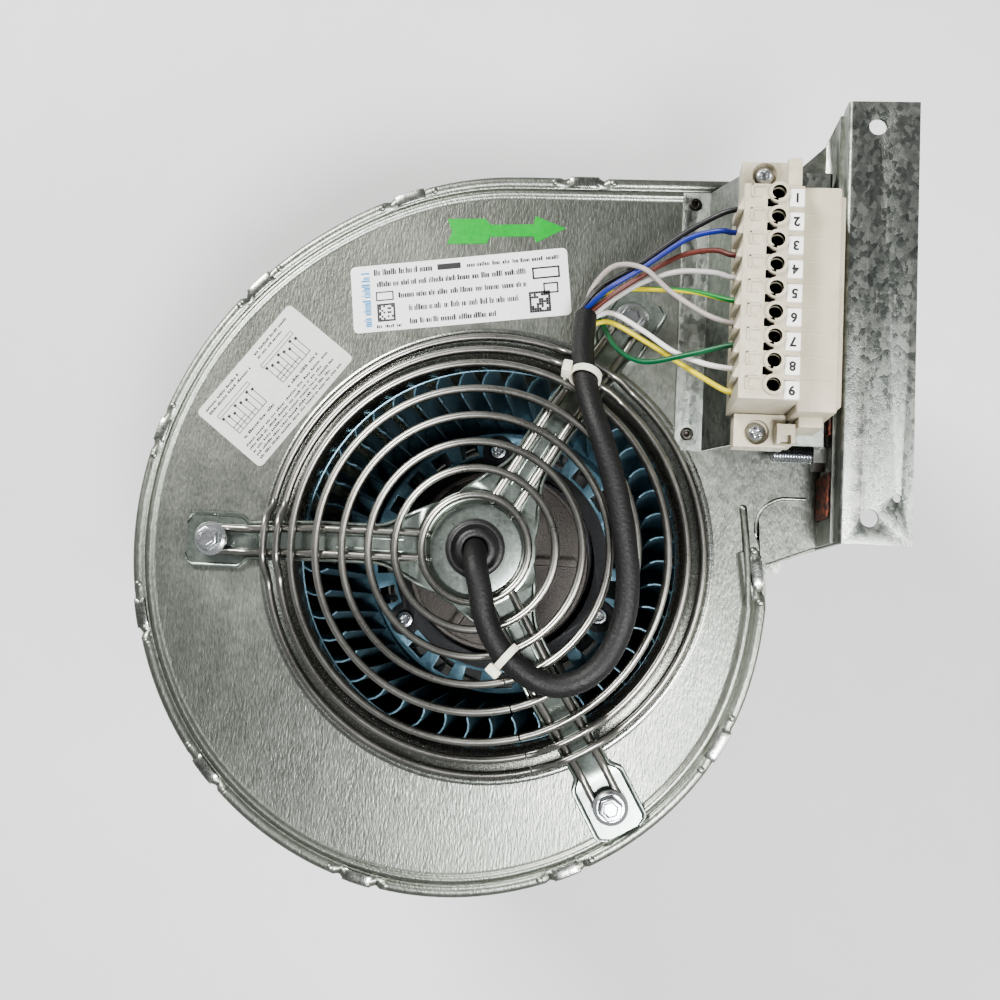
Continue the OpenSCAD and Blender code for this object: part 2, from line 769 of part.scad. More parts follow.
module lead_2_blue() {
  color([0.08, 0.14, 0.5])
    strand_cord(strand(2), [[45, 101, 23.4], [56, 107.5, 26], [72, 117, 33], [83, 118.6, 38.5]], 2);
}

module lead_3_brown() {
  color([0.34, 0.13, 0.1])
    strand_cord(strand(1), [[46, 99.5, 19], [58, 107, 22], [71, 112.6, 28], [82, 112.4, 35.5]], 3);
}

module lead_4_pale_grey() {
  color([0.72, 0.7, 0.68])
    strand_cord(strand(0), [[46, 98, 16.4], [58, 104.6, 20.4], [70, 107, 26], [82, 104.4, 34.5]], 4);
}

module lead_5_earth() {
  color([0.35, 0.6, 0.15])
    strand_cord(strand(4), [[37, 96, 11.2], [42, 101, 11], [52, 103, 13.6], [63, 101.4, 21.2], [76, 98, 31]], 5);
}

module lead_6_grey() {
  color([0.6, 0.57, 0.55]) strand_cord(
    bundle, [[38, 102.4, 14.8], [46, 110, 20.6], [57, 106.5, 30.5], [67, 98, 31], [79, 89, 35.5]], 6);
}

module lead_7_green() {
  color([0.05, 0.35, 0.2]) strand_cord(
    strand(5), [[38.5, 96.5, 7.6], [43, 90, 7.8], [49, 79, 16.4], [59, 72.4, 26], [75, 74, 34]], 7);
}

module lead_8_white() {
  color([0.85, 0.85, 0.83])
    strand_cord(strand(7), [[46, 93.8, 13.8], [58, 85.4, 21], [69, 76.4, 27.5], [79, 71, 34]], 8);
}

module lead_9_yellow() {
  color([0.85, 0.75, 0.1])
    strand_cord(strand(6), [[39.5, 90.6, 9.4], [46, 91, 10.2], [58, 83.4, 15.4], [69, 75, 22.5], [80, 66, 31.5]], 9);
}

module tie(at, turn, dip, loop_r) {
  strap_w = 3.2;
  strap_t = 0.9;
  translate(at) rotate([0, 0, turn]) rotate([dip, 0, 0]) {
    rotate([90, 0, 0]) translate([0, 0, -strap_w / 2]) difference() {
      cylinder(h = strap_w, r = loop_r + strap_t);
      translate([0, 0, -1]) cylinder(h = strap_w + 2, r = loop_r);
    }
    // head and the strap's cut end
    translate([-loop_r - 3.6, -2.6, -0.4]) cube([3.4, 5.2, 5.2]);
    translate([-loop_r - 2.6, -strap_w / 2, -3]) cube([strap_t, strap_w, 3]);
  }
}

module cable_tie_upper() {
  color([0.88, 0.87, 0.8]) tie([37.3, 65.4, 29], -10, -29, 5.2);
}

module cable_tie_lower() {
  color([0.88, 0.87, 0.8]) tie([14.4, -38.3, 38.3], 50, 0, lead_d / 2 + 0.15);
}

// ---------- labels ----------

module plate_label(at, turn, l, w) {
  r = 2;
  translate(concat(at, [0])) rotate([0, 0, turn]) linear_extrude(0.15) union() {
    square([l, w - 2 * r], center = true);
    square([l - 2 * r, w], center = true);
    for (x = [-1, 1]) for (y = [-1, 1]) translate([x * (l / 2 - r), y * (w / 2 - r)]) circle(r = r);
  }
}

module rating_label() {
  color([0.88, 0.88, 0.87]) plate_label([-15, 104.6], 7, 88, 27.5);
}

module wiring_label() {
  color([0.78, 0.78, 0.76]) plate_label([-88.1, 63.3], 52.8, 58, 35.4);
}

module direction_arrow() {
  color([0.1, 0.62, 0.22]) translate([2.4, 129.9, 0]) rotate([0, 0, 2]) linear_extrude(0.15) polygon([
    [-24, 5.2], [-8.5, 5.2], [-6.5, 2.6], [11, 2.6], [11.6, 6], [24, 0.8],
    [12, -5], [11, -2.4], [-6.5, -2.4], [-8, -5.2], [-24, -5.2], [-22, 0]
  ]);
}

// ---------- motor ----------

module stator_flange() {
  color([0.4, 0.37, 0.34]) difference() {
    union() {
      translate([0, 0, stator_face_z - 13]) cylinder(h = 13, r = 41);
      translate([0, 0, stator_face_z - eps]) cylinder(h = hub_z - stator_face_z - 3, r = 15);
      translate([0, 0, -150]) cylinder(h = 80, r = 17.5);
      for (a = [0 : 60 : 300]) rotate([0, 0, a]) translate([0, -1.5, stator_face_z - eps])
        cube([36, 3, 6]);
    }
    translate([0, 0, stator_face_z - 30]) cylinder(h = 200, r = lead_d / 2 + 0.3);
    translate([0, 0, -160]) cylinder(h = 160 + stator_face_z - 20, r = 13);
  }
}

module stator_core() {
  color([0.45, 0.45, 0.46]) ring(36.6, 17.8, -143, -100);
}

module stator_windings() {
  color([0.62, 0.33, 0.16]) {
    ring(34, 20, -99.9, -86);
    ring(34, 20, -155, -143.1);
  }
}

module bearing(z0, z1) {
  translate([0, 0, z0]) difference() {
    cylinder(h = z1 - z0, r = 12.9);
    translate([0, 0, -1]) cylinder(h = z1 - z0 + 2, r = shaft_r + shaft_gap);
  }
}

module front_bearing() {
  color([0.6, 0.6, 0.62]) bearing(-99, -90);
}

module rear_bearing() {
  color([0.6, 0.6, 0.62]) bearing(-149, -140);
}

module rotor_can() {
  color([0.07, 0.07, 0.08]) {
    // deep-drawn cup
    rotate_extrude($fn = 128) polygon([
      [shaft_r, can_end_z], [can_r, can_end_z], [can_r, rotor_flange_z - 2 + eps],
      [can_r - 2, rotor_flange_z - 2 + eps], [can_r - 2, can_end_z + 4], [shaft_r, can_end_z + 4]
    ]);
    // flange with its three screw lugs
    translate([0, 0, rotor_flange_z - 2]) linear_extrude(2) difference() {
      union() {
        circle(r = 50, $fn = 128);
        around([94, 214, 334]) translate([52, 0]) circle(r = 7.5);
      }
      circle(r = can_r - 2.4, $fn = 128);
      around([94, 214, 334]) translate([52, 0]) circle(r = 2.2);
    }
    // cooling ribs on the closed end
    for (a = [15 : 30 : 345]) rotate([0, 0, a]) translate([16, -1, can_end_z - 3]) cube([24, 2, 3.1]);
  }
}

module rotor_core() {
  color([0.4, 0.4, 0.42]) ring(can_r - 2.02, 37.1, -143, -100);
}

module rotor_shaft() {
  color([0.75, 0.76, 0.78]) {
    translate([0, 0, can_end_z]) cylinder(h = 77, r = shaft_r);
    translate([0, 0, can_end_z + 4]) cylinder(h = 8, r = 10);
  }
}

module hub_disc() {
  color([0.16, 0.22, 0.27]) difference() {
    rotate_extrude($fn = 128) polygon([
      [can_r + 0.3, rotor_flange_z - 2], [61, rotor_flange_z - 2], [65.5, mid_z + 0.5],
      [wheel_r, mid_z + 0.5], [wheel_r, mid_z - 0.5], [64.5, mid_z - 0.5],
      [60, rotor_flange_z - 3], [can_r + 0.3, rotor_flange_z - 3]
    ]);
    for (a = [0 : 15 : 345]) if (a % 120 != 90) rotate([0, 0, a + 4])
      translate([51.5, -4, rotor_flange_z - 10]) cube([7, 8, 15]);
    around([94, 214, 334]) translate([52, 0, rotor_flange_z - 10]) cylinder(h = 20, r = 2.2);
  }
}

// Blade section: a thin arc that leads forward from its inner to its outer edge
blade_lead = 9;
blade_bow = 5.5;
blade_out_r = wheel_r - 1;
function blade_mid(f) =
  let (r = blade_in_r + (blade_out_r - blade_in_r) * f, a = -blade_lead * f * f + blade_bow * f)
  polar(r, a);
function blade_side(f, s) =
  let (t = unit(blade_mid(f + 0.01) - blade_mid(f - 0.01))) blade_mid(f) + s * blade_t / 2 * [-t[1], t[0]];

module blade_row(z0, z1) {
  for (i = [0 : blade_count - 1]) {
    rotate([0, 0, i * 360 / blade_count]) translate([0, 0, z0]) linear_extrude(z1 - z0) polygon(concat(
      [for (f = [0 : 0.2 : 1.001]) blade_side(f, 1)],
      [for (f = [1 : -0.2 : -0.001]) blade_side(f, -1)]
    ));
  }
}

module front_blades() {
  color([0.15, 0.23, 0.29]) blade_row(mid_z + 0.5, -18);
}

module rear_blades() {
  color([0.15, 0.23, 0.29]) to_rear() blade_row(mid_z + 0.5, -18);
}

module end_ring_body() {
  rotate_extrude($fn = 128) {
    translate([wheel_r - 0.8, -24]) square([0.8, 7]);
    translate([wheel_r - 4, -18]) square([4, 1]);
  }
}

module front_end_ring() {
  color([0.15, 0.22, 0.27]) end_ring_body();
}

module rear_end_ring() {
  color([0.15, 0.22, 0.27]) to_rear() end_ring_body();
}

module impeller_screws() {
  color([0.6, 0.6, 0.58]) around([94, 214, 334]) translate([52, 0, rotor_flange_z]) difference() {
    union() {
      cylinder(h = 2.6, r = 4);
      translate([0, 0, -7]) cylinder(h = 7.1, r = 2);
    }
    translate([0, 0, 1]) cylinder(h = 3, r = 2, $fn = 6);
  }
}

at_axis() front_side_plate();
at_axis() rear_side_plate();
at_axis() scroll_wrapper();
at_axis() rim_tabs_front();
at_axis() rim_tabs_rear();
at_axis() front_inlet_ring();
at_axis() rear_inlet_ring();
at_axis() outlet_flange();
at_axis() tongue_plate();
at_axis() flange_seal_strip();
at_axis() mounting_frame();
at_axis() frame_bolts();
at_axis() frame_nuts();
at_axis() motor_spider();
at_axis() spider_bolts();
at_axis() weld_nuts();
at_axis() front_guard_rings();
at_axis() front_guard_spokes();
at_axis() rear_guard_rings();
at_axis() rear_guard_spokes();
at_axis() rear_guard_bolts();
at_axis() terminal_bracket();
at_axis() bracket_rivets();
at_axis() terminal_strip();
at_axis() terminal_plug();
at_axis() number_tags();
at_axis() pole_screws();
at_axis() end_clamp_top();
at_axis() end_clamp_bottom();
at_axis() end_clamp_screws();
at_axis() cable_grommet();
at_axis() motor_lead();
at_axis() lead_1_black();
at_axis() lead_2_blue();
at_axis() lead_3_brown();
at_axis() lead_4_pale_grey();
at_axis() lead_5_earth();
at_axis() lead_6_grey();
at_axis() lead_7_green();
at_axis() lead_8_white();
at_axis() lead_9_yellow();
at_axis() cable_tie_upper();
at_axis() cable_tie_lower();
at_axis() rating_label();
at_axis() wiring_label();
at_axis() direction_arrow();
at_axis() stator_flange();
at_axis() stator_core();
at_axis() stator_windings();
at_axis() front_bearing();
at_axis() rear_bearing();
at_axis() rotor_can();
at_axis() rotor_core();
at_axis() rotor_shaft();
at_axis() hub_disc();
at_axis() front_blades();
at_axis() rear_blades();
at_axis() front_end_ring();
at_axis() rear_end_ring();
at_axis() impeller_screws();
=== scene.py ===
"""Double-inlet centrifugal blower: builds and dresses every visible piece round the CAD frame.

Pieces are drawn in millimetres about the wheel axis, with z = 0 on the front side plate's face,
and are moved into the frame, in metres, as each is finished.
"""

import functools
import json
import logging
import math
import random
from collections.abc import Callable, Iterable, Sequence
from dataclasses import dataclass
from enum import Enum

import bmesh
import bpy
from mathutils import Matrix, Vector


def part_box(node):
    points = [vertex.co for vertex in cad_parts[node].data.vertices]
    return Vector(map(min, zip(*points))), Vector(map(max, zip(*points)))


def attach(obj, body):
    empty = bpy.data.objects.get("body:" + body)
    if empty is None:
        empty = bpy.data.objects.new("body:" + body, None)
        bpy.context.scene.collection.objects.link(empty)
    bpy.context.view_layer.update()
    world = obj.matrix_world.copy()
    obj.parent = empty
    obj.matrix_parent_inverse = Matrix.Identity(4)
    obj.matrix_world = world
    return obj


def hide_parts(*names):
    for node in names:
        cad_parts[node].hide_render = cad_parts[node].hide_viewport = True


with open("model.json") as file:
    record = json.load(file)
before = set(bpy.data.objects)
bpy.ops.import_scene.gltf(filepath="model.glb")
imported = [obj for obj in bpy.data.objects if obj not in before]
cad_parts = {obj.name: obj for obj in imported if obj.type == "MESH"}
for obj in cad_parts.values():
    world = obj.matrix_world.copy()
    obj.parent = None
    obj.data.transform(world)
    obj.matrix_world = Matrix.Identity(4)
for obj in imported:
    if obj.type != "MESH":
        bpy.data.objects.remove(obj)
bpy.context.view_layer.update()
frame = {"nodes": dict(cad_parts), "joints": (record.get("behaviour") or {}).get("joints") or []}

log = logging.getLogger("blower")

MM = 0.001
JOINT = frame["joints"][0]["pos_m"]
ORIGIN = Vector((JOINT[0], JOINT[1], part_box("rating_label")[0].z))
TO_FRAME = Matrix.Translation(ORIGIN) @ Matrix.Scale(MM, 4)
HOUSING_WIDTH = 220.0
ARM_ANGLES = (60.0, 180.0, 300.0)
SCREW_ANGLES = (94.0, 214.0, 334.0)
BOLT_CIRCLE = 108.0
UP = Vector((0.0, 0.0, 1.0))

Colour = tuple[float, float, float]
Profile = Sequence[tuple[float, float]]


# ---------------------------------------------------------------- finishes


def srgb(red: int, green: int, blue: int) -> Colour:
    """Turns a display colour into the linear colour that shaders use.

    Args:
        red, green, blue: Display values from 0 to 255.
    Returns:
        The linear colour.
    """
    def channel(value: int) -> float:
        """Linear value of one channel."""
        part = value / 255
        return part / 12.92 if part <= 0.04045 else ((part + 0.055) / 1.055) ** 2.4

    return channel(red), channel(green), channel(blue)


def rgba(colour: Colour) -> tuple[float, float, float, float]:
    """The colour with full opacity."""
    return (*colour, 1.0)


class Graph:
    """A short way to write a node tree."""

    def __init__(self, tree: bpy.types.NodeTree) -> None:
        """Keeps the tree that nodes are added to."""
        self.tree = tree

    def add(self, kind: str, inputs: dict | None = None, **settings: object) -> bpy.types.Node:
        """Adds a node.

        Args:
            kind: The node's type name.
            inputs: Values or sockets for its inputs, by name or number.
            settings: The node's own properties.
        Returns:
            The new node.
        """
        node = self.tree.nodes.new(kind)
        for key, value in settings.items():
            setattr(node, key, value)
        for key, value in (inputs or {}).items():
            if isinstance(value, bpy.types.NodeSocket):
                self.tree.links.new(value, node.inputs[key])
            else:
                node.inputs[key].default_value = value
        return node

    def maths(self, operation: str, first: object, second: object = 0.0) -> bpy.types.NodeSocket:
        """The result of a Math node on two values or sockets."""
        return self.add("ShaderNodeMath", {0: first, 1: second}, operation=operation).outputs[0]

    def span(
        self, value: object, low: float, high: float, to: tuple[float, float] = (0.0, 1.0)
    ) -> bpy.types.NodeSocket:
        """Value from low to high, stretched to the range `to` and held there."""
        inputs = {"Value": value, "From Min": low, "From Max": high, "To Min": to[0], "To Max": to[1]}
        return self.add("ShaderNodeMapRange", inputs, clamp=True).outputs["Result"]

    def noise(self, vector: object, scale: object, detail: float = 3.0, rough: float = 0.5) -> bpy.types.NodeSocket:
        """A noise pattern's value."""
        inputs = {"Vector": vector, "Scale": scale, "Detail": detail, "Roughness": rough}
        return self.add("ShaderNodeTexNoise", inputs).outputs[0]

    def mix(self, factor: object, first: object, second: object) -> bpy.types.NodeSocket:
        """Two colours mixed by a factor."""
        node = self.add("ShaderNodeMix", data_type="RGBA")
        for socket, value in ((node.inputs[0], factor), (node.inputs[6], first), (node.inputs[7], second)):
            if isinstance(value, bpy.types.NodeSocket):
                self.tree.links.new(value, socket)
            else:
                socket.default_value = value
        return node.outputs[2]


def new_group(name: str, inputs: Sequence[str], outputs: Sequence[str]) -> tuple[Graph, dict, bpy.types.Node]:
    """Starts a shader node group.

    Args:
        name: The group's name.
        inputs: Input names; "Vector" is a vector, the others are numbers.
        outputs: Output names, all numbers.
    Returns:
        The graph, its input sockets by name, and its output node.
    """
    tree = bpy.data.node_groups.new(name, "ShaderNodeTree")
    for label in inputs:
        kind = "NodeSocketVector" if label == "Vector" else "NodeSocketFloat"
        tree.interface.new_socket(label, in_out="INPUT", socket_type=kind)
    for label in outputs:
        tree.interface.new_socket(label, in_out="OUTPUT", socket_type="NodeSocketFloat")
    graph = Graph(tree)
    source = graph.add("NodeGroupInput")
    return graph, {label: source.outputs[label] for label in inputs}, graph.add("NodeGroupOutput")


class Grain(Enum):
    """The patterns that a finish can be built on."""

    ROLLED = "rolled"
    SPANGLE = "spangle"
    DRAWN = "drawn"
    SAND = "sand"
    MOULDED = "moulded"
    SKIN = "skin"
    PAPER = "paper"
    SPECKLE = "speckle"
    LAYERED = "layered"
    WOUND = "wound"
    STRIPED = "striped"

    @functools.cache
    def group(self) -> bpy.types.NodeTree:
        """The node group that draws this pattern, with outputs Tone and Height."""
        graph, given, out = new_group(f"grain_{self.value}", ("Vector", "Size"), ("Tone", "Height"))
        where, size = given["Vector"], given["Size"]
        drift = graph.noise(where, graph.maths("MULTIPLY", size, 0.06), 2.0)
        fine = graph.noise(where, size, 4.0, 0.6)
        if self is Grain.SPANGLE:
            bent = graph.add("ShaderNodeVectorMath", {0: where}, operation="ADD")
            colour = graph.add("ShaderNodeTexNoise", {"Vector": where, "Scale": graph.maths("MULTIPLY", size, 2.2)})
            push = graph.add("ShaderNodeVectorMath", {0: colour.outputs["Color"], 3: 0.0012}, operation="SCALE")
            graph.tree.links.new(push.outputs[0], bent.inputs[1])
            cells = graph.add("ShaderNodeTexVoronoi", {"Vector": bent.outputs[0], "Scale": size})
            flake = graph.add("ShaderNodeSeparateColor", {0: cells.outputs["Color"]}).outputs[0]
            edge = graph.add("ShaderNodeTexVoronoi", {"Vector": bent.outputs[0], "Scale": size},
                             feature="DISTANCE_TO_EDGE")
            feather = graph.noise(where, graph.maths("MULTIPLY", size, 9.0), 3.0)
            tone = graph.maths("ADD", graph.maths("MULTIPLY", flake, 0.4), graph.maths("MULTIPLY", feather, 0.6))
            height = graph.maths("ADD", graph.span(edge.outputs[0], 0.0, 0.1, (0.0, 0.5)), feather)
        elif self is Grain.DRAWN:
            tone = graph.maths("ADD", graph.maths("MULTIPLY", drift, 0.5), graph.maths("MULTIPLY", fine, 0.5))
            height = fine
        elif self is Grain.SAND:
            pits = graph.add("ShaderNodeTexVoronoi", {"Vector": where, "Scale": size}).outputs["Distance"]
            tone = graph.maths("ADD", graph.maths("MULTIPLY", fine, 0.6), graph.maths("MULTIPLY", pits, 0.5))
            height = graph.maths("ADD", pits, fine)
        elif self is Grain.SPECKLE:
            spots = graph.span(graph.noise(where, size, 2.0), 0.5, 0.56)
            tone = graph.maths("ADD", graph.maths("MULTIPLY", spots, 0.7), graph.maths("MULTIPLY", fine, 0.3))
            height = graph.maths("ADD", spots, fine)
        elif self is Grain.LAYERED:
            wave = graph.add("ShaderNodeTexWave", {"Vector": where, "Scale": size, "Distortion": 0.4},
                             bands_direction="Z")
            tone = graph.maths("ADD", graph.maths("MULTIPLY", wave.outputs[1], 0.6),
                               graph.maths("MULTIPLY", fine, 0.4))
            height = wave.outputs[1]
        elif self is Grain.WOUND:
            wave = graph.add("ShaderNodeTexWave", {"Vector": where, "Scale": size, "Distortion": 1.4},
                             wave_type="RINGS")
            tone = graph.maths("ADD", graph.maths("MULTIPLY", wave.outputs[1], 0.7),
                               graph.maths("MULTIPLY", fine, 0.3))
            height = wave.outputs[1]
        elif self is Grain.STRIPED:
            parts = graph.add("ShaderNodeSeparateXYZ", {0: where})
            slip = graph.maths("MULTIPLY", parts.outputs[0], 0.008)
            turn = graph.maths("FRACT", graph.maths("ADD", parts.outputs[1], slip))
            tone = graph.maths("SUBTRACT", graph.span(turn, 0.30, 0.33), graph.span(turn, 0.62, 0.65))
            height = graph.noise(where, 3.0, 2.0)
        elif self is Grain.SKIN:
            cells = graph.add("ShaderNodeTexVoronoi", {"Vector": where, "Scale": size}, feature="SMOOTH_F1")
            tone = graph.maths("ADD", graph.maths("MULTIPLY", drift, 0.7), graph.maths("MULTIPLY", fine, 0.3))
            height = graph.maths("ADD", cells.outputs["Distance"], fine)
        else:
            share = {Grain.ROLLED: 0.2, Grain.MOULDED: 0.6, Grain.PAPER: 0.35}[self]
            peel = graph.noise(where, graph.maths("MULTIPLY", size, 0.5), 2.0, 0.45)
            tone = graph.maths(
                "ADD",
                graph.maths("MULTIPLY", drift, share),
                graph.maths("MULTIPLY", graph.maths("MULTIPLY", graph.maths("ADD", fine, peel), 0.5), 1 - share),
            )
            height = graph.maths("ADD", graph.maths("MULTIPLY", fine, 0.45), peel)
        graph.tree.links.new(graph.span(tone, 0.25, 0.75), out.inputs["Tone"])
        graph.tree.links.new(height, out.inputs["Height"])
        return graph.tree


@functools.cache
def handling_group() -> bpy.types.NodeTree:
    """The node group for use marks, with outputs Smudge, Scratch and Edge."""
    graph, given, out = new_group("handling_marks", ("Vector",), ("Smudge", "Scratch", "Edge"))
    where = given["Vector"]
    smudge = graph.span(graph.noise(where, 16.0, 5.0, 0.62), 0.48, 0.72)
    stretch = graph.add("ShaderNodeMapping", {0: where, 2: (0.3, 0.5, 0.8), 3: (900.0, 26.0, 60.0)})
    lines = graph.span(graph.noise(stretch.outputs[0], 1.0, 1.0), 0.70, 0.76)
    patches = graph.span(graph.noise(where, 30.0, 2.0), 0.5, 0.62)
    worn = graph.span(graph.add("ShaderNodeNewGeometry").outputs["Pointiness"], 0.53, 0.62)
    ragged = graph.maths("MULTIPLY", worn, graph.span(graph.noise(where, 240.0, 3.0), 0.4, 0.6))
    graph.tree.links.new(smudge, out.inputs["Smudge"])
    graph.tree.links.new(graph.maths("MULTIPLY", lines, patches), out.inputs["Scratch"])
    graph.tree.links.new(ragged, out.inputs["Edge"])
    return graph.tree


@dataclass(frozen=True)
class Finish:
    """What one surface is made of: two tones of a pattern, its gloss and its wear."""

    name: str
    light: Colour
    dark: Colour
    grain: Grain = Grain.MOULDED
    size: float = 900.0
    metallic: float = 0.0
    rough: tuple[float, float] = (0.35, 0.5)
    bump: float = 0.25
    stretch: tuple[float, float, float] = (1.0, 1.0, 1.0)
    grime: float = 0.15
    grime_colour: Colour = (0.09, 0.085, 0.075)
    worn: float = 0.0
    worn_colour: Colour = (0.5, 0.5, 0.5)
    coat: float = 0.0
    sheen: float = 0.0
    subsurface: float = 0.0
    along: bool = False

    @functools.cache
    def material(self) -> bpy.types.Material:
        """The material of this finish, built once."""
        made = bpy.data.materials.new(self.name)
        made.use_nodes = True
        tree = made.node_tree
        tree.nodes.clear()
        graph = Graph(tree)
        coords = graph.add("ShaderNodeTexCoord")
        where = coords.outputs["UV" if self.along else "Object"]
        mapped = graph.add("ShaderNodeMapping", {0: where, 3: self.stretch}).outputs[0]
        pattern = graph.add("ShaderNodeGroup", node_tree=self.grain.group())
        pattern.inputs["Size"].default_value = self.size
        tree.links.new(mapped, pattern.inputs["Vector"])
        marks = graph.add("ShaderNodeGroup", node_tree=handling_group())
        tree.links.new(coords.outputs["Object"], marks.inputs["Vector"])
        tone = pattern.outputs["Tone"]
        colour = graph.mix(tone, rgba(self.dark), rgba(self.light))
        smudge = graph.maths("MULTIPLY", marks.outputs["Smudge"], self.grime)
        colour = graph.mix(smudge, colour, rgba(self.grime_colour))
        rubbed = graph.maths("MAXIMUM", marks.outputs["Edge"], marks.outputs["Scratch"])
        wear = graph.maths("MULTIPLY", rubbed, self.worn)
        colour = graph.mix(wear, colour, rgba(self.worn_colour))
        gloss = graph.span(tone, 0.0, 1.0, self.rough)
        gloss = graph.maths("ADD", gloss, graph.maths("MULTIPLY", marks.outputs["Smudge"], 0.08))
        bump = graph.add(
            "ShaderNodeBump",
            {"Strength": self.bump, "Distance": 0.00025, "Height": pattern.outputs["Height"]},
        )
        shader = graph.add(
            "ShaderNodeBsdfPrincipled",
            {
                "Base Color": colour,
                "Roughness": gloss,
                "Metallic": self.metallic,
                "Normal": bump.outputs[0],
                "Coat Weight": self.coat,
                "Coat Roughness": 0.2,
                "Sheen Weight": self.sheen,
                "Subsurface Weight": self.subsurface,
                "Subsurface Scale": 0.002,
            },
        )
        out = graph.add("ShaderNodeOutputMaterial")
        tree.links.new(shader.outputs[0], out.inputs[0])
        made.diffuse_color = rgba(self.light)
        return made


def metal(name: str, light: Colour, dark: Colour, **more: object) -> Finish:
    """A bare metal finish."""
    return Finish(name, light, dark, metallic=1.0, **more)


def wire_skin(name: str, light: Colour, dark: Colour, **more: object) -> Finish:
    """The insulation of a thin conductor."""
    return Finish(name, light, dark, size=1400.0, rough=(0.32, 0.45), bump=0.15, grime=0.1, **more)


PLATE = metal("galvanised_plate", srgb(142, 146, 138), srgb(120, 124, 117), grain=Grain.ROLLED, size=2100.0,
              rough=(0.30, 0.40), bump=0.42, stretch=(1.0, 0.3, 1.0), grime=0.05,
              grime_colour=srgb(118, 119, 113), worn=0.3, worn_colour=srgb(198, 200, 194))
EDGE = metal("galvanised_edge", srgb(166, 169, 163), srgb(134, 138, 133), grain=Grain.ROLLED, size=1700.0,
             rough=(0.20, 0.32), bump=0.2, grime=0.06, grime_colour=srgb(112, 110, 104), worn=0.4,
             worn_colour=srgb(220, 220, 214))
SPANGLED = metal("spangled_zinc", srgb(148, 152, 146), srgb(112, 117, 113), grain=Grain.SPANGLE, size=620.0,
                 rough=(0.28, 0.46), bump=0.24, stretch=(1.0, 0.7, 1.0), grime=0.1,
                 grime_colour=srgb(120, 116, 108), worn=0.3, worn_colour=srgb(216, 217, 212))
SEAL = Finish("seal", srgb(128, 70, 52), srgb(52, 26, 22), Grain.SPECKLE, 520.0, rough=(0.6, 0.85), bump=0.6,
              grime=0.2)
BOLT = metal("bolt_zinc", srgb(214, 216, 218), srgb(182, 186, 190), grain=Grain.DRAWN, size=1600.0,
             rough=(0.18, 0.32), bump=0.1, grime=0.16, worn=0.3, worn_colour=srgb(232, 232, 230))
NUT = metal("nut_zinc", srgb(168, 168, 162), srgb(132, 134, 130), grain=Grain.DRAWN, size=1500.0,
            rough=(0.24, 0.4), bump=0.15, grime=0.2)
SPIDER = metal("spider_steel", srgb(154, 162, 156), srgb(130, 139, 133), grain=Grain.ROLLED, size=1100.0,
               rough=(0.26, 0.36), bump=0.1, grime=0.03, worn=0.3, worn_colour=srgb(196, 202, 197))
WIRE = metal("guard_wire", srgb(160, 159, 154), srgb(130, 129, 124), grain=Grain.DRAWN, size=900.0,
             rough=(0.24, 0.36), bump=0.1, grime=0.12, worn=0.2, worn_colour=srgb(200, 199, 194))
TERMINAL = Finish("terminal_plastic", srgb(192, 185, 166), srgb(172, 164, 144), Grain.MOULDED, 1500.0,
                  rough=(0.36, 0.48), bump=0.16, grime=0.2, grime_colour=srgb(112, 100, 80), worn=0.25,
                  worn_colour=srgb(212, 207, 190), subsurface=0.03)
TAG = Finish("tag_plastic", srgb(240, 240, 236), srgb(226, 226, 222), Grain.MOULDED, 1600.0, rough=(0.35, 0.45),
             bump=0.1, grime=0.08, subsurface=0.05)
# Dark pole metal: the real colour of the poles, screws and rivets, and also painted shade on the walls deep in the
# terminal strip's wells.
POLE_AND_WELL_SHADE = metal("pole_metal", srgb(92, 89, 83), srgb(52, 50, 47), grain=Grain.DRAWN, size=1600.0,
             rough=(0.28, 0.45), bump=0.2, grime=0.3)
RUBBER = Finish("black_rubber", srgb(26, 26, 26), srgb(12, 12, 13), Grain.SKIN, 1500.0, rough=(0.36, 0.55),
                bump=0.35, grime=0.2, grime_colour=srgb(62, 60, 57), sheen=0.1)
SLEEVE = Finish("lead_black", srgb(16, 16, 17), srgb(6, 6, 7), Grain.SKIN, 900.0, rough=(0.50, 0.66),
                bump=0.6, grime=0.05, grime_colour=srgb(44, 42, 40))
INK = Finish("ink_black", srgb(34, 34, 36), srgb(18, 18, 20), Grain.PAPER, 1600.0, rough=(0.5, 0.6), bump=0.05)
INK_BLUE = Finish("ink_blue", srgb(46, 134, 190), srgb(36, 118, 176), Grain.PAPER, 1600.0, rough=(0.5, 0.6),
                  bump=0.05)
TIE = Finish("tie_nylon", srgb(232, 229, 214), srgb(214, 210, 192), Grain.MOULDED, 1200.0, rough=(0.3, 0.42),
             bump=0.12, grime=0.1, grime_colour=srgb(150, 142, 122), subsurface=0.15)
LABEL_WHITE = Finish("label_white", srgb(232, 233, 232), srgb(216, 218, 218), Grain.PAPER, 1200.0,
                     rough=(0.34, 0.46), bump=0.08, grime=0.08, grime_colour=srgb(150, 150, 146), coat=0.2)
LABEL_GREY = Finish("label_grey", srgb(206, 206, 202), srgb(190, 191, 188), Grain.PAPER, 1100.0,
                    rough=(0.38, 0.5), bump=0.1, grime=0.1, grime_colour=srgb(140, 140, 134), coat=0.15)
ARROW = Finish("arrow_green", srgb(24, 158, 52), srgb(14, 134, 40), Grain.PAPER, 1000.0, rough=(0.3, 0.42),
               bump=0.1, grime=0.1, coat=0.3)
CAST = metal("die_cast", srgb(108, 104, 100), srgb(74, 71, 69), grain=Grain.SAND, size=1300.0,
             rough=(0.46, 0.66), bump=0.5, grime=0.3, worn=0.2, worn_colour=srgb(146, 143, 138))
LAMINATION = metal("lamination", srgb(132, 132, 136), srgb(78, 78, 82), grain=Grain.LAYERED, size=300.0,
                   rough=(0.4, 0.6), bump=0.5, grime=0.25)
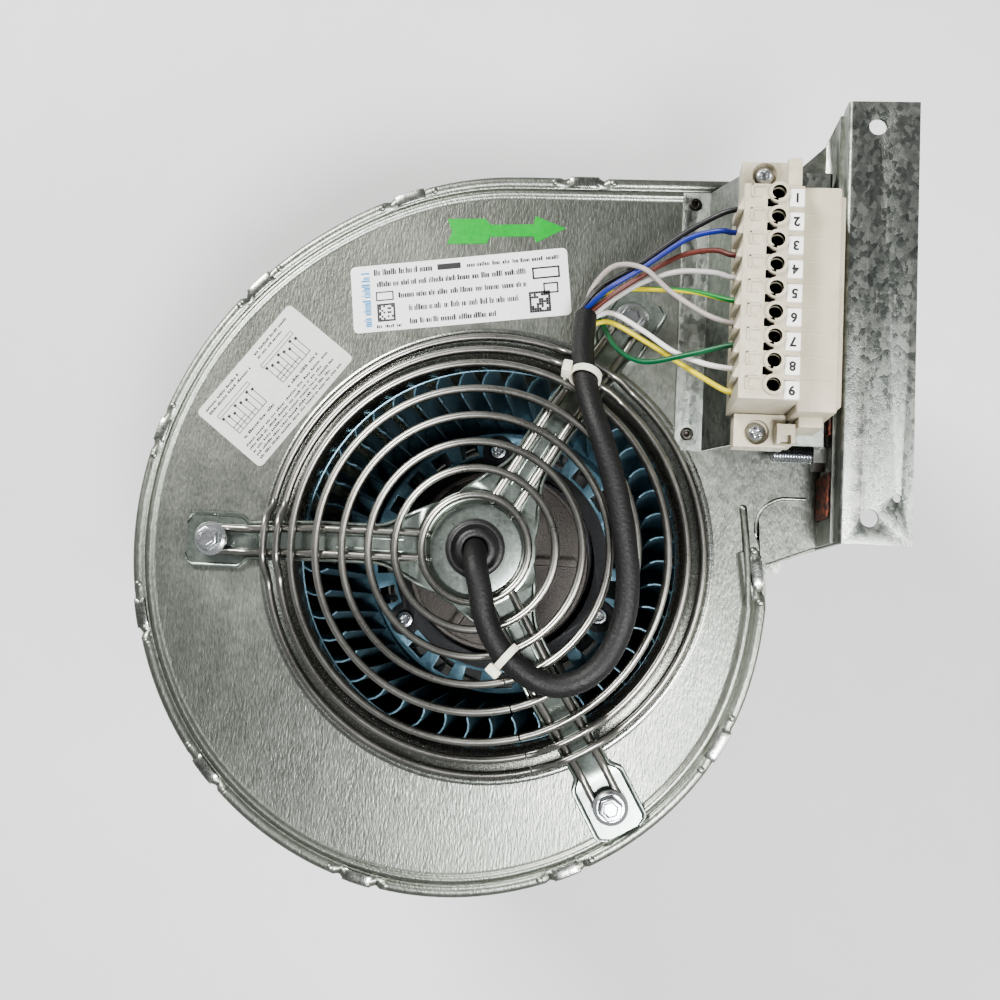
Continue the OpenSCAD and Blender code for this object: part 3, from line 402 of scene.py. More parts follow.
COPPER = metal("copper", srgb(196, 112, 70), srgb(132, 66, 36), grain=Grain.WOUND, size=160.0,
               rough=(0.25, 0.45), bump=0.6, grime=0.15)
BEARING = metal("bearing_steel", srgb(190, 192, 196), srgb(150, 152, 158), grain=Grain.DRAWN, size=1500.0,
                rough=(0.16, 0.3), bump=0.08, grime=0.1)
ROTOR = Finish("rotor_black", srgb(34, 35, 38), srgb(18, 19, 21), Grain.SAND, 1000.0, metallic=0.3,
               rough=(0.36, 0.55), bump=0.25, grime=0.2, worn=0.35, worn_colour=srgb(120, 120, 120))
# Wheel steel: the teal-blue tint and the darker tone are painted reflection and painted shade, standing for galvanised
# steel seen in shade inside the housing.
WHEEL = Finish("wheel_steel", srgb(122, 156, 170), srgb(80, 110, 126), Grain.ROLLED, 1200.0, metallic=0.55,
               rough=(0.28, 0.42), bump=0.14, grime=0.16, grime_colour=srgb(50, 56, 60), worn=0.35,
               worn_colour=srgb(160, 176, 182))
EARTH = Finish("wire_earth", srgb(220, 204, 44), srgb(28, 122, 52), Grain.STRIPED, 1.0, rough=(0.34, 0.44),
               bump=0.1, grime=0.08, along=True)
CONDUCTORS = (
    wire_skin("wire_black", srgb(20, 20, 22), srgb(9, 9, 11)),
    wire_skin("wire_blue", srgb(26, 44, 140), srgb(16, 28, 104)),
    wire_skin("wire_brown", srgb(104, 48, 38), srgb(76, 33, 26)),
    wire_skin("wire_pale_grey", srgb(206, 202, 200), srgb(180, 176, 174)),
    EARTH,
    wire_skin("wire_grey", srgb(176, 168, 164), srgb(150, 142, 138)),
    wire_skin("wire_green", srgb(14, 96, 58), srgb(8, 72, 42)),
    wire_skin("wire_white", srgb(236, 234, 230), srgb(216, 214, 210)),
    wire_skin("wire_yellow", srgb(232, 218, 62), srgb(208, 190, 40)),
)


# ---------------------------------------------------------------- shaping


class Side(Enum):
    """The two sides of the housing."""

    FRONT = "front"
    REAR = "rear"

    def face(self, bm: bmesh.types.BMesh) -> None:
        """Turns a shape drawn for the front to this side."""
        if self is Side.REAR:
            bmesh.ops.scale(bm, vec=(1.0, 1.0, -1.0), verts=bm.verts)
            bmesh.ops.translate(bm, vec=(0.0, 0.0, -HOUSING_WIDTH), verts=bm.verts)


@dataclass
class Station:
    """One stop on a swept line: a place and the two directions across it."""

    at: Vector
    side: Vector
    lift: Vector

    def point(self, across: float, up: float) -> Vector:
        """The point at two offsets across the line."""
        return self.at + self.side * across + self.lift * up


def smooth_step(value: float, low: float, high: float) -> float:
    """0 below low, 1 above high and a smooth rise between."""
    part = max(0.0, min(1.0, (value - low) / (high - low)))
    return part * part * (3 - 2 * part)


def polar(radius: float, degrees: float, z: float = 0.0) -> Vector:
    """A point by radius and angle."""
    return Vector((radius * math.cos(math.radians(degrees)), radius * math.sin(math.radians(degrees)), z))


def turned(degrees: float) -> Matrix:
    """A turn about the wheel axis."""
    return Matrix.Rotation(math.radians(degrees), 4, "Z")


def smooth_line(points: Sequence[Sequence[float]], steps: int) -> list[Vector]:
    """A smooth curve through points.

    Args:
        points: The points it goes through.
        steps: Pieces between one point and the next.
    Returns:
        The curve's points.
    """
    given = [Vector(p) for p in points]
    last = len(given) - 1
    line = []
    for i in range(last):
        a, b, c, d = given[max(i - 1, 0)], given[i], given[i + 1], given[min(i + 2, last)]
        for k in range(steps):
            f = k / steps
            line.append(b + 0.5 * f * (c - a + f * (2 * a - 5 * b + 4 * c - d + f * (3 * (b - c) + d - a))))
    return [*line, given[-1]]


def rounded_line(points: Sequence[Sequence[float]], radius: float, steps: int = 5) -> list[Vector]:
    """A bent line whose inner corners are rounded.

    Args:
        points: The corners.
        radius: How far before and after a corner the rounding reaches.
        steps: Pieces in one corner.
    Returns:
        The line's points.
    """
    given = [Vector(p) for p in points]
    line = [given[0]]
    for before, corner, after in zip(given, given[1:], given[2:]):
        start = corner + (before - corner).normalized() * radius
        end = corner + (after - corner).normalized() * radius
        for k in range(steps + 1):
            f = k / steps
            line.append(start.lerp(corner, f).lerp(corner.lerp(end, f), f))
    return [*line, given[-1]]


def stations(line: Sequence[Vector], up: Vector | None = UP, closed: bool = False) -> list[Station]:
    """Directions along a line.

    Args:
        line: The line's points.
        up: The direction that lift stays close to, or None to carry it along without a twist.
        closed: Whether the line's last point is its first.
    Returns:
        A station for each point.
    """
    result: list[Station] = []
    count = len(line)
    lift = UP if up is None else up
    for i, at in enumerate(line):
        before = line[i - 1] if i else (line[count - 2] if closed else line[0])
        after = line[i + 1] if i < count - 1 else (line[1] if closed else line[-1])
        ahead = (after - before).normalized()
        if up is None:
            if not result and abs(ahead.z) > 0.9:
                lift = Vector((1.0, 0.0, 0.0))
            lift = (lift - ahead * lift.dot(ahead)).normalized()
            side = ahead.cross(lift)
        else:
            side = ahead.cross(up).normalized()
            lift = side.cross(ahead)
        result.append(Station(at, side, lift))
    return result


def sweep(
    bm: bmesh.types.BMesh,
    stops: Sequence[Station],
    section: Callable[[int], Profile],
    looped: bool = True,
    capped: bool = True,
) -> None:
    """Draws a section along a line by extruding its edges from stop to stop.

    Args:
        bm: The mesh it is added to.
        stops: The line's stations.
        section: Gives the section's points at a stop.
        looped: Whether the section is closed.
        capped: Whether both ends of a closed section get a face.
    """
    slot = bm.verts.layers.int.get("slot") or bm.verts.layers.int.new("slot")
    uv = bm.loops.layers.uv.get("UVMap") or bm.loops.layers.uv.new("UVMap")
    profile = section(0)
    count = len(profile)
    verts = []
    for index, (across, up) in enumerate(profile):
        vert = bm.verts.new(stops[0].point(across, up))
        vert[slot] = index
        verts.append(vert)
    pairs = list(zip(verts, verts[1:])) + ([(verts[-1], verts[0])] if looped else [])
    edges = [bm.edges.new(pair) for pair in pairs]
    if looped and capped:
        bm.faces.new(verts)
    travelled = 0.0
    for k, stop in enumerate(stops[1:], start=1):
        step = (stop.at - stops[k - 1].at).length
        made = bmesh.ops.extrude_edge_only(bm, edges=edges)["geom"]
        fresh = {item for item in made if isinstance(item, bmesh.types.BMVert)}
        profile = section(k)
        for vert in fresh:
            vert.co = stop.point(*profile[vert[slot]])
        for face in (item for item in made if isinstance(item, bmesh.types.BMFace)):
            order = [loop.vert[slot] for loop in face.loops]
            wraps = max(order) - min(order) > 1
            for loop in face.loops:
                place = loop.vert[slot] + (count if wraps and loop.vert[slot] == 0 else 0)
                along = travelled + (step if loop.vert in fresh else 0.0)
                loop[uv].uv = (along, place / count)
        edges = [e for e in made if isinstance(e, bmesh.types.BMEdge) and e.verts[0] in fresh and e.verts[1] in fresh]
        travelled += step
    if looped and capped:
        bmesh.ops.contextual_create(bm, geom=edges)


def circle_points(radius: float, count: int, wide: float = 1.0) -> list[tuple[float, float]]:
    """A round section, made wider by `wide`."""
    angles = [2 * math.pi * k / count for k in range(count)]
    return [(radius * wide * math.cos(a), radius * math.sin(a)) for a in angles]


def lathe(
    bm: bmesh.types.BMesh, profile: Profile, steps: int = 96, place: Matrix | None = None, closed: bool = False
) -> None:
    """Spins a profile about z.

    Args:
        bm: The mesh it is added to.
        profile: Pairs of radius and height.
        steps: Steps in a full turn.
        place: Where the shape goes.
        closed: Whether the profile's last point joins its first.
    """
    part = bmesh.new()
    verts = [part.verts.new((r, 0.0, z)) for r, z in profile]
    pairs = list(zip(verts, verts[1:])) + ([(verts[-1], verts[0])] if closed else [])
    edges = [part.edges.new(pair) for pair in pairs]
    bmesh.ops.spin(part, geom=[*verts, *edges], axis=UP, cent=(0, 0, 0), angle=2 * math.pi, steps=steps,
                   use_merge=True, use_duplicate=False)
    bmesh.ops.remove_doubles(part, verts=part.verts, dist=1e-4)
    bmesh.ops.recalc_face_normals(part, faces=part.faces)
    add_part(bm, part, place)


def add_part(bm: bmesh.types.BMesh, part: bmesh.types.BMesh, place: Matrix | None = None, ink: int = 0) -> None:
    """Adds a finished part to a mesh.

    Args:
        bm: The mesh it is added to.
        part: The part, which is freed.
        place: Where it goes.
        ink: The number of the material its faces take.
    """
    if place is not None:
        part.transform(place)
        if place.determinant() < 0:
            bmesh.ops.reverse_faces(part, faces=part.faces)
    for face in part.faces:
        face.material_index = ink
    mesh = bpy.data.meshes.new("part")
    part.to_mesh(mesh)
    part.free()
    bm.from_mesh(mesh)
    bpy.data.meshes.remove(mesh)


def bevel_sharp(bm: bmesh.types.BMesh, width: float, segments: int = 2, angle: float = 32.0) -> None:
    """Bevels every edge that is sharper than an angle."""
    limit = math.radians(angle)
    edges = [e for e in bm.edges if len(e.link_faces) == 2 and e.calc_face_angle(0.0) > limit]
    if edges and width > 0:
        bmesh.ops.bevel(bm, geom=edges, offset=width, segments=segments, profile=0.5, affect="EDGES",
                        clamp_overlap=True, material=-1)


def block(bm: bmesh.types.BMesh, low: Sequence[float], high: Sequence[float], bevel: float = 0.0,
          place: Matrix | None = None, ink: int = 0, segments: int = 2) -> None:
    """Adds a block with rounded edges between two corners."""
    part = bmesh.new()
    size = Vector(high) - Vector(low)
    middle = (Vector(high) + Vector(low)) / 2
    bmesh.ops.create_cube(part, size=1.0, matrix=Matrix.Translation(middle) @ Matrix.Diagonal((*size, 1.0)))
    bevel_sharp(part, bevel, segments)
    add_part(bm, part, place, ink)


def prism(bm: bmesh.types.BMesh, outline: Sequence[Sequence[float]], z0: float, z1: float, bevel: float = 0.0,
          place: Matrix | None = None, ink: int = 0) -> None:
    """Adds a flat outline raised from z0 to z1."""
    part = bmesh.new()
    face = part.faces.new([part.verts.new((p[0], p[1], z0)) for p in outline])
    raised = bmesh.ops.extrude_face_region(part, geom=[face])["geom"]
    bmesh.ops.translate(part, vec=(0, 0, z1 - z0), verts=[v for v in raised if isinstance(v, bmesh.types.BMVert)])
    bmesh.ops.recalc_face_normals(part, faces=part.faces)
    bevel_sharp(part, bevel)
    add_part(bm, part, place, ink)


def hex_head(bm: bmesh.types.BMesh, radius: float, low: float, high: float, dish: float, place: Matrix) -> None:
    """Adds a hexagonal head with chamfered corners and a shallow dish on top."""
    part = bmesh.new()
    middle = Matrix.Translation((0, 0, (low + high) / 2))
    bmesh.ops.create_cone(part, cap_ends=True, segments=6, radius1=radius, radius2=radius, depth=high - low,
                          matrix=middle)
    part.faces.ensure_lookup_table()
    top = max(part.faces, key=lambda f: f.calc_center_median().z)
    bmesh.ops.bevel(part, geom=list(top.edges), offset=0.55, segments=3, profile=0.5, affect="EDGES",
                    clamp_overlap=True, material=-1)
    top = max(part.faces, key=lambda f: (round(f.calc_center_median().z, 4), f.calc_area()))
    bmesh.ops.inset_region(part, faces=[top], thickness=0.9, depth=0.0)
    bmesh.ops.inset_region(part, faces=[top], thickness=0.7, depth=-dish)
    add_part(bm, part, place)


def spot(bm: bmesh.types.BMesh, at: Vector, radius: float, squash: float = 1.0) -> None:
    """Adds a small rounded blob, such as a weld spot."""
    part = bmesh.new()
    place = Matrix.Translation(at) @ Matrix.Diagonal((1.0, 1.0, squash, 1.0))
    bmesh.ops.create_icosphere(part, subdivisions=2, radius=radius, matrix=place)
    add_part(bm, part)


def cad_shape(node: str, flat: float = 1.0) -> bmesh.types.BMesh:
    """A clean copy of a CAD node's mesh, in millimetres about the wheel axis.

    Args:
        node: The node's name.
        flat: Faces that meet at less than this angle, in degrees, become one.
    Returns:
        The mesh.
    """
    bm = bmesh.new()
    bm.from_mesh(frame["nodes"][node].data)
    for layer in list(bm.loops.layers.uv):
        bm.loops.layers.uv.remove(layer)
    bm.transform(TO_FRAME.inverted())
    bmesh.ops.remove_doubles(bm, verts=bm.verts, dist=0.002)
    if flat:
        bmesh.ops.dissolve_limit(bm, angle_limit=math.radians(flat), verts=bm.verts, edges=bm.edges)
    return bm


# ---------------------------------------------------------------- sub-assemblies


@dataclass
class SubAssembly:
    """Something that is built from pieces, all riding on one body."""

    body: str = "housing"

    def build(self) -> None:
        """Builds and dresses the pieces."""
        raise NotImplementedError

    def keep(self, name: str, bm: bmesh.types.BMesh, finish: Finish, nodes: Iterable[str], inks: Sequence[Finish] = (),
             smooth: float = 34.0) -> bpy.types.Object:
        """Turns a mesh into a finished piece of the frame.

        Args:
            name: The piece's name.
            bm: Its mesh, in millimetres about the wheel axis, which is freed.
            finish: Its finish.
            nodes: The CAD nodes that it stands for.
            inks: More finishes, for faces with material numbers from 1.
            smooth: Edges sharper than this angle, in degrees, stay sharp.
        Returns:
            The object.
        """
        bm.transform(TO_FRAME)
        mesh = bpy.data.meshes.new(name)
        bm.to_mesh(mesh)
        bm.free()
        mesh.shade_smooth()
        mesh.set_sharp_from_angle(angle=math.radians(smooth))
        for one in (finish, *inks):
            mesh.materials.append(one.material())
        made = bpy.data.objects.new(name, mesh)
        bpy.context.scene.collection.objects.link(made)
        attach(made, self.body)
        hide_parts(*nodes)
        log.info("%s: %d faces for %s", name, len(mesh.polygons), ", ".join(nodes))
        return made

    def refine(
        self, node: str, finish: Finish, bevel: float = 0.2, segments: int = 2, flat: float = 1.0
    ) -> bpy.types.Object:
        """Makes a piece from a CAD node with its sharp edges rounded.

        Args:
            node: The node's name.
            finish: Its finish.
            bevel: Width of the rounding, in millimetres.
            segments: Steps in the rounding.
            flat: Angle below which faces become one, in degrees.
        Returns:
            The object.
        """
        bm = cad_shape(node, flat)
        bevel_sharp(bm, bevel, segments)
        return self.keep(f"{node}_piece", bm, finish, [node])

    def paint(self, node: str, finish: Finish) -> None:
        """Gives a CAD node that stays a finish."""
        mesh = frame["nodes"][node].data
        mesh.materials.clear()
        mesh.materials.append(finish.material())
        log.info("%s: kept, in %s", node, finish.name)


@dataclass
class MotorLead(SubAssembly):
    """The sleeved lead from the hub and the nine conductors that leave it."""

    sleeve_d: float = 9.0
    strand_d: float = 2.0
    pole_y: float = 58.0
    pitch: float = 8.3
    entry_x: float = 93.0
    entry_z: float = 40.0
    bundle: tuple[float, float, float] = (36.3, 92.9, 14.0)
    route: tuple[tuple[float, float, float], ...] = (
        (0, 0, 10), (0, 0, 24), (0.3, -1.5, 31), (1.4, -6.5, 36.6), (3.4, -14, 38.2), (6, -25, 38.3),
        (12, -36, 38.3), (22, -44.2, 38.3), (32, -47.4, 38.3), (42, -44.4, 38.3), (50, -36, 38.3),
        (55, -23, 38.3), (56, -10, 38.3), (54.5, 3, 38.3), (51, 20, 38.3), (46, 37, 38),
        (41, 51, 35.4), (37.5, 64, 29.7), (35.8, 77, 22.5), (36.2, 92, 14.5),
    )
    strands: tuple[tuple[str, int, tuple[tuple[float, float, float], ...]], ...] = (
        ("lead_1_black", 3, ((40.6, 102, 17.6), (54, 109, 24), (70, 119, 31), (82, 124.5, 37))),
        ("lead_2_blue", 2, ((45, 101, 23.4), (56, 107.5, 26), (72, 117, 33), (83, 118.6, 38.5))),
        ("lead_3_brown", 1, ((46, 99.5, 19), (58, 107, 22), (71, 112.6, 28), (82, 112.4, 35.5))),
        ("lead_4_pale_grey", 0, ((46, 98, 16.4), (58, 104.6, 20.4), (70, 107, 26), (82, 104.4, 34.5))),
        ("lead_5_earth", 4, ((37, 96, 11.2), (42, 101, 11), (52, 103, 13.6), (63, 101.4, 21.2), (76, 98, 31))),
        ("lead_6_grey", -1, ((38, 102.4, 14.8), (46, 110, 20.6), (57, 106.5, 30.5), (67, 98, 31), (79, 89, 35.5))),
        ("lead_7_green", 5, ((38.5, 96.5, 7.6), (43, 90, 7.8), (49, 79, 16.4), (59, 72.4, 26), (75, 74, 34))),
        ("lead_8_white", 7, ((46, 93.8, 13.8), (58, 85.4, 21), (69, 76.4, 27.5), (79, 71, 34))),
        ("lead_9_yellow", 6, ((39.5, 90.6, 9.4), (46, 91, 10.2), (58, 83.4, 15.4), (69, 75, 22.5), (80, 66, 31.5))),
    )

    def tube(self, line: list[Vector], radius: Callable[[int, float], float], sides: int) -> bmesh.types.BMesh:
        """A skin along a line, whose radius depends on the stop and the angle round it."""
        bm = bmesh.new()
        angles = [2 * math.pi * k / sides for k in range(sides)]

        def section(k: int) -> Profile:
            """The skin's section at a stop."""
            return [(radius(k, a) * math.cos(a), radius(k, a) * math.sin(a)) for a in angles]

        sweep(bm, stations(line, None), section)
        bmesh.ops.recalc_face_normals(bm, faces=bm.faces)
        return bm

    def declare(self, piece: bpy.types.Object, line: list[Vector], exit_at: Sequence[float], diameter: float,
                with_pieces: Sequence[bpy.types.Object] = ()) -> None:
        """An empty step that a cord piece and its line in millimetres are passed to."""

    def start_of(self, place: int) -> Vector:
        """Where a conductor leaves the sleeve; place -1 is the middle."""
        middle = Vector(self.bundle)
        if place < 0:
            return middle
        angle = math.radians(45 * place)
        return middle + 3.3 * Vector((math.cos(angle), 0.44 * math.sin(angle), 0.9 * math.sin(angle)))

    def build(self) -> None:
        """Builds the sleeve and the conductors."""
        line = smooth_line(self.route, 6)
        rng = random.Random(7)
        waves = [(rng.uniform(0.25, 0.9), rng.uniform(0, 6.28), rng.uniform(0.01, 0.03)) for _ in range(5)]

        def sleeve_radius(k: int, angle: float) -> float:
            """The sleeve's radius, with a soft ridge along it and faint wrinkles."""
            ridge = 0.12 * math.cos(angle * 2 + 0.6) + 0.14 * math.exp(-((angle - 1.9) ** 2) / 0.05)
            folds = sum(size * math.sin(k * rate + phase + angle) for rate, phase, size in waves)
            return self.sleeve_d / 2 - 0.12 + ridge + folds

        sleeve = self.keep("motor_lead_sleeve", self.tube(line, sleeve_radius, 20), SLEEVE, ["motor_lead"])
        self.declare(sleeve, line, (0, 0, 27), self.sleeve_d)
        for number, (name, place, middle) in enumerate(self.strands, start=1):
            end = (self.entry_x, self.pole_y + self.pitch * (9 - number) + 1.8, self.entry_z)
            ahead = (end[0] - 5.0, end[1], end[2] - 0.8)
            path = smooth_line([self.start_of(place), *middle, ahead, end], 7)
            bm = self.tube(path, lambda k, a: self.strand_d / 2, 12)
            piece = self.keep(f"{name}_conductor", bm, CONDUCTORS[number - 1], [name])
            self.declare(piece, path, self.bundle, self.strand_d)


@dataclass
class CableTies(SubAssembly):
    """Two nylon ties drawn round the lead."""

    width: float = 2.7
    thick: float = 0.9

    def tie(self, name: str, at: Sequence[float], turn: float, dip: float, radius: float) -> None:
        """Builds one tie.

        Args:
            name: The CAD node it stands for.
            at: The middle of the loop.
            turn: Its turn about z, in degrees.
            dip: How far the lead slopes there, in degrees.
            radius: The loop's inner radius.
        """
        place = Matrix.Translation(at) @ turned(turn) @ Matrix.Rotation(math.radians(dip), 4, "X")
        half = self.width / 2
        outer = radius + self.thick
        bm = bmesh.new()
        part = bmesh.new()
        lathe(part, [(radius, -half), (outer - 0.15, -half), (outer, -half + 0.15), (outer, half - 0.15),
                     (outer - 0.15, half), (radius, half)], 48, Matrix.Rotation(math.radians(90), 4, "X"), closed=True)
        add_part(bm, part, place)
        left = -radius
        block(bm, (left - 3.6, -2.6, -0.4), (left - 0.2, 2.6, 4.8), 0.6, place, segments=3)
        block(bm, (left - 3.0, -1.9, 4.6), (left - 0.9, 1.9, 5.1), 0.2, place)
        block(bm, (left - 2.6, -half, -3.0), (left - 1.7, half, -0.2), 0.25, place)
        for k in range(14):
            round_it = Matrix.Rotation(math.radians(-16 - 8 * k), 4, "Y")
            block(bm, (outer - 0.1, -1.1, -0.16), (outer + 0.12, 1.1, 0.16), 0.0, place @ round_it)
        self.keep(f"{name}_piece", bm, TIE, [name])

    def build(self) -> None:
        """Builds both ties."""
        self.tie("cable_tie_upper", (37.3, 65.4, 29.0), -10, -29, 5.2)
        self.tie("cable_tie_lower", (14.4, -38.3, 38.3), 50, 0, 4.65)


@dataclass
class ScrollHousing(SubAssembly):
    """Side plates with their rolled rims, the wrapper between them and the inlet rings."""

    radii: tuple[float, ...] = (111, 119.2, 127.6, 135.8, 140.3, 141.4, 142.6, 146.3, 152.6)
    first_angle: float = -8.0
    step_angle: float = -33.0
    top: float = 152.6
    end_x: float = 123.4
    nose: tuple[float, float] = (116.5, 15.0)
    nose_radius: float = 12.0
    inlet_radius: float = 88.6
    tab_angles: tuple[float, ...] = (324, 288, 252, 221, 193, 162, 133, 105)
    tab_length: float = 14.0
    dimple_at: float = 10.5
    rim: tuple[tuple[float, float], ...] = (
        (0.0, -3.4), (0.0, -0.6), (0.3, 0.15), (1.0, 0.62), (2.1, 0.8), (3.2, 0.62), (4.0, 0.1), (4.4, -0.45),
        (4.8, -0.5), (5.15, -0.1), (5.6, 0.6), (6.2, 1.0), (6.9, 1.1), (7.6, 0.95), (8.2, 0.4), (8.7, 0.06),
        (9.6, 0.0),
    )
    tab: tuple[tuple[float, float], ...] = (
        (-0.45, -6.0), (-0.45, 0.2), (-0.1, 0.75), (0.4, 0.92), (3.6, 0.92), (4.1, 0.7), (4.3, 0.1), (4.2, -0.3),
        (3.4, -0.2), (2.0, 0.2), (0.6, -0.2), (0.15, -1.0), (0.15, -6.0),
    )

    def radius_at(self, t: float) -> float:
        """The scroll's radius at a place counted in steps, on a smooth curve through its radii."""
        i = math.floor(t)
        a, b, c, d = (self.radii[max(0, min(len(self.radii) - 1, i + k))] for k in (-1, 0, 1, 2))
        f = t - i
        return b + 0.5 * f * (c - a + f * (2 * a - 5 * b + 4 * c - d + f * (3 * (b - c) + d - a)))

    def edge_point(self, t: float) -> Vector:
        """A point of the scroll's edge."""
        return polar(self.radius_at(t), self.first_angle + self.step_angle * t)

    def edge_line(self) -> list[Vector]:
        """The rim's line: up the tongue, round the scroll and along the top."""
        start, join = Vector((106.7, 6.0, 0.0)), self.edge_point(0.0)
        line = [start.lerp(join, k / 11) for k in range(11)]
        last = len(self.radii) - 1
        line += [self.edge_point(last * k / 330) for k in range(331)]
        x0 = line[-1].x
        line += [Vector((x0 + (self.end_x - x0) * k / 60, self.top, 0.0)) for k in range(1, 61)]
        return line

    def tab_centres(self) -> list[Vector]:
        """Where the tabs sit on the rim."""
        spots = [self.edge_point((360 - a + self.first_angle) / -self.step_angle) for a in self.tab_angles]
        return [*spots, Vector((33.0, self.top, 0.0)), Vector((107.9, -2.4, 0.0))]

    def nose_line(self, radius: float, start: float, end: float) -> list[Vector]:
        """An arc round the tongue's nose."""
        centre = Vector((*self.nose, 0.0))
        return [centre + polar(radius, start + (end - start) * k / 20) for k in range(21)]

    def side_plate(self, side: Side) -> None:
        """Builds one side plate, from its rolled rim to the inlet."""
        line = self.edge_line()
        centres = self.tab_centres()
        notch = self.tab_length / 2 + 0.5

        def rim_section(k: int) -> Profile:
            """The rim's section, pressed down at a tab's ends."""
            near = min((line[k] - c).length for c in centres)
            dip = max(0.0, 1 - abs(near - notch) / 1.0)
            return [(a + 0.7 * dip, z - 1.5 * dip) if i < 7 else (a, z) for i, (a, z) in enumerate(self.rim)]

        bm = bmesh.new()
        stops = stations(line)
        sweep(bm, stops, rim_section, looped=False)
        inner = [stop.point(*self.rim[-1]) for stop in stops]
        outline = [*inner, Vector((self.end_x, 27.0, 0.0)), *self.nose_line(self.nose_radius, 90, 190), line[0]]
        hole = [polar(self.inlet_radius, 360 * k / 128) for k in range(128)]
        edges = []
        for loop in (outline, hole):
            verts = [bm.verts.new(p) for p in loop]
            edges += [bm.edges.new(pair) for pair in zip(verts, verts[1:] + verts[:1])]
        bmesh.ops.triangle_fill(bm, use_beauty=True, use_dissolve=False, edges=edges)
        bmesh.ops.remove_doubles(bm, verts=bm.verts, dist=0.01)
        bmesh.ops.recalc_face_normals(bm, faces=bm.faces)
        if sum(f.normal.z * f.calc_area() for f in bm.faces) < 0:
            bmesh.ops.reverse_faces(bm, faces=bm.faces)
        bmesh.ops.solidify(bm, geom=bm.faces, thickness=0.9)
        lip = bmesh.new()
        edge = [*self.nose_line(self.nose_radius - 0.5, 192, 90), Vector((self.end_x, self.nose[1] + 11.5, 0.0))]
        sweep(lip, stations(edge), lambda k: circle_points(0.75, 10))
        run = smooth_line([(102.8, -14, 0.0), (102.2, 0, 0.1), (101.2, 12, 0.1), (100.0, 22, -0.3)], 5)
        sweep(lip, stations(run), lambda k: circle_points(1.5, 12))
        spot(lip, Vector((100.0, 22, -0.3)), 1.6)
        for centre in centres:
            at_tab = min(range(len(line)), key=lambda k: (line[k] - centre).length)
            for way in (-1, 1):
                k = at_tab
                while 0 < k < len(line) - 1 and (line[k] - centre).length < self.dimple_at:
                    k += way
                spot(lip, stops[k].point(2.1, 0.5), 1.5, 0.5)
        bmesh.ops.recalc_face_normals(lip, faces=lip.faces)
        add_part(bm, lip)
        side.face(bm)
        if side is Side.REAR:
            bmesh.ops.reverse_faces(bm, faces=bm.faces)
        self.keep(f"{side.value}_side_plate_sheet", bm, PLATE, [f"{side.value}_side_plate"], smooth=50)

    def rim_tabs(self, side: Side) -> None:
        """Builds the folded tabs that hold one side plate's rim."""
        line = self.edge_line()
        bm = bmesh.new()
        for centre in self.tab_centres():
            near = [p for p in line if (p - centre).length < self.tab_length / 2 - 0.1]
            part = bmesh.new()
            stops = stations(near)

            def section(k: int, count: int = len(near)) -> Profile:
                """The tab's section, lower at its two ends."""
                drop = 0.35 if k in (0, count - 1) else 0.0
                return [(a, z - drop if z > -1 else z) for a, z in self.tab]

            sweep(part, stops, section)
            bmesh.ops.recalc_face_normals(part, faces=part.faces)
            bevel_sharp(part, 0.15, 2, 50)
            add_part(bm, part)
        side.face(bm)
        if side is Side.REAR:
            bmesh.ops.reverse_faces(bm, faces=bm.faces)
        self.keep(f"rim_tabs_{side.value}_folded", bm, EDGE, [f"rim_tabs_{side.value}"])

    def inlet_ring(self, side: Side) -> None:
        """Builds one bell-mouthed inlet ring."""
        outer, throat, thick = 88.0, 76.0, 1.0
        bell = outer - throat
        profile = [
            (outer + 1.6, 0.02), (outer + 1.5, 0.55), (outer + 0.7, 1.0), (outer - 0.3, 1.02), (outer - 1.2, 0.7),
        ]
        profile += [(outer + bell * math.cos(a), -bell + bell * math.sin(a))
                    for a in (math.radians(96 + 84 * k / 16) for k in range(17))]
        profile += [(throat, -15.0), (throat + 0.5, -15.3), (throat + thick, -15.0)]
        inner = bell - thick
        profile += [(outer + inner * math.cos(a), -bell + inner * math.sin(a))
                    for a in (math.radians(180 - 84 * k / 12) for k in range(13))]
        profile += [(outer + 1.4, -1.0)]
        bm = bmesh.new()
        lathe(bm, profile, 144, closed=True)
        side.face(bm)
        if side is Side.REAR:
            bmesh.ops.reverse_faces(bm, faces=bm.faces)
        self.keep(f"{side.value}_inlet_ring_bell", bm, EDGE, [f"{side.value}_inlet_ring"])

    def build(self) -> None:
        """Builds the housing."""
        for side in Side:
            self.side_plate(side)
            self.rim_tabs(side)
            self.inlet_ring(side)
        self.refine("scroll_wrapper", PLATE, 0.15, 2, 0.2)
        self.refine("tongue_plate", PLATE, 0.25)


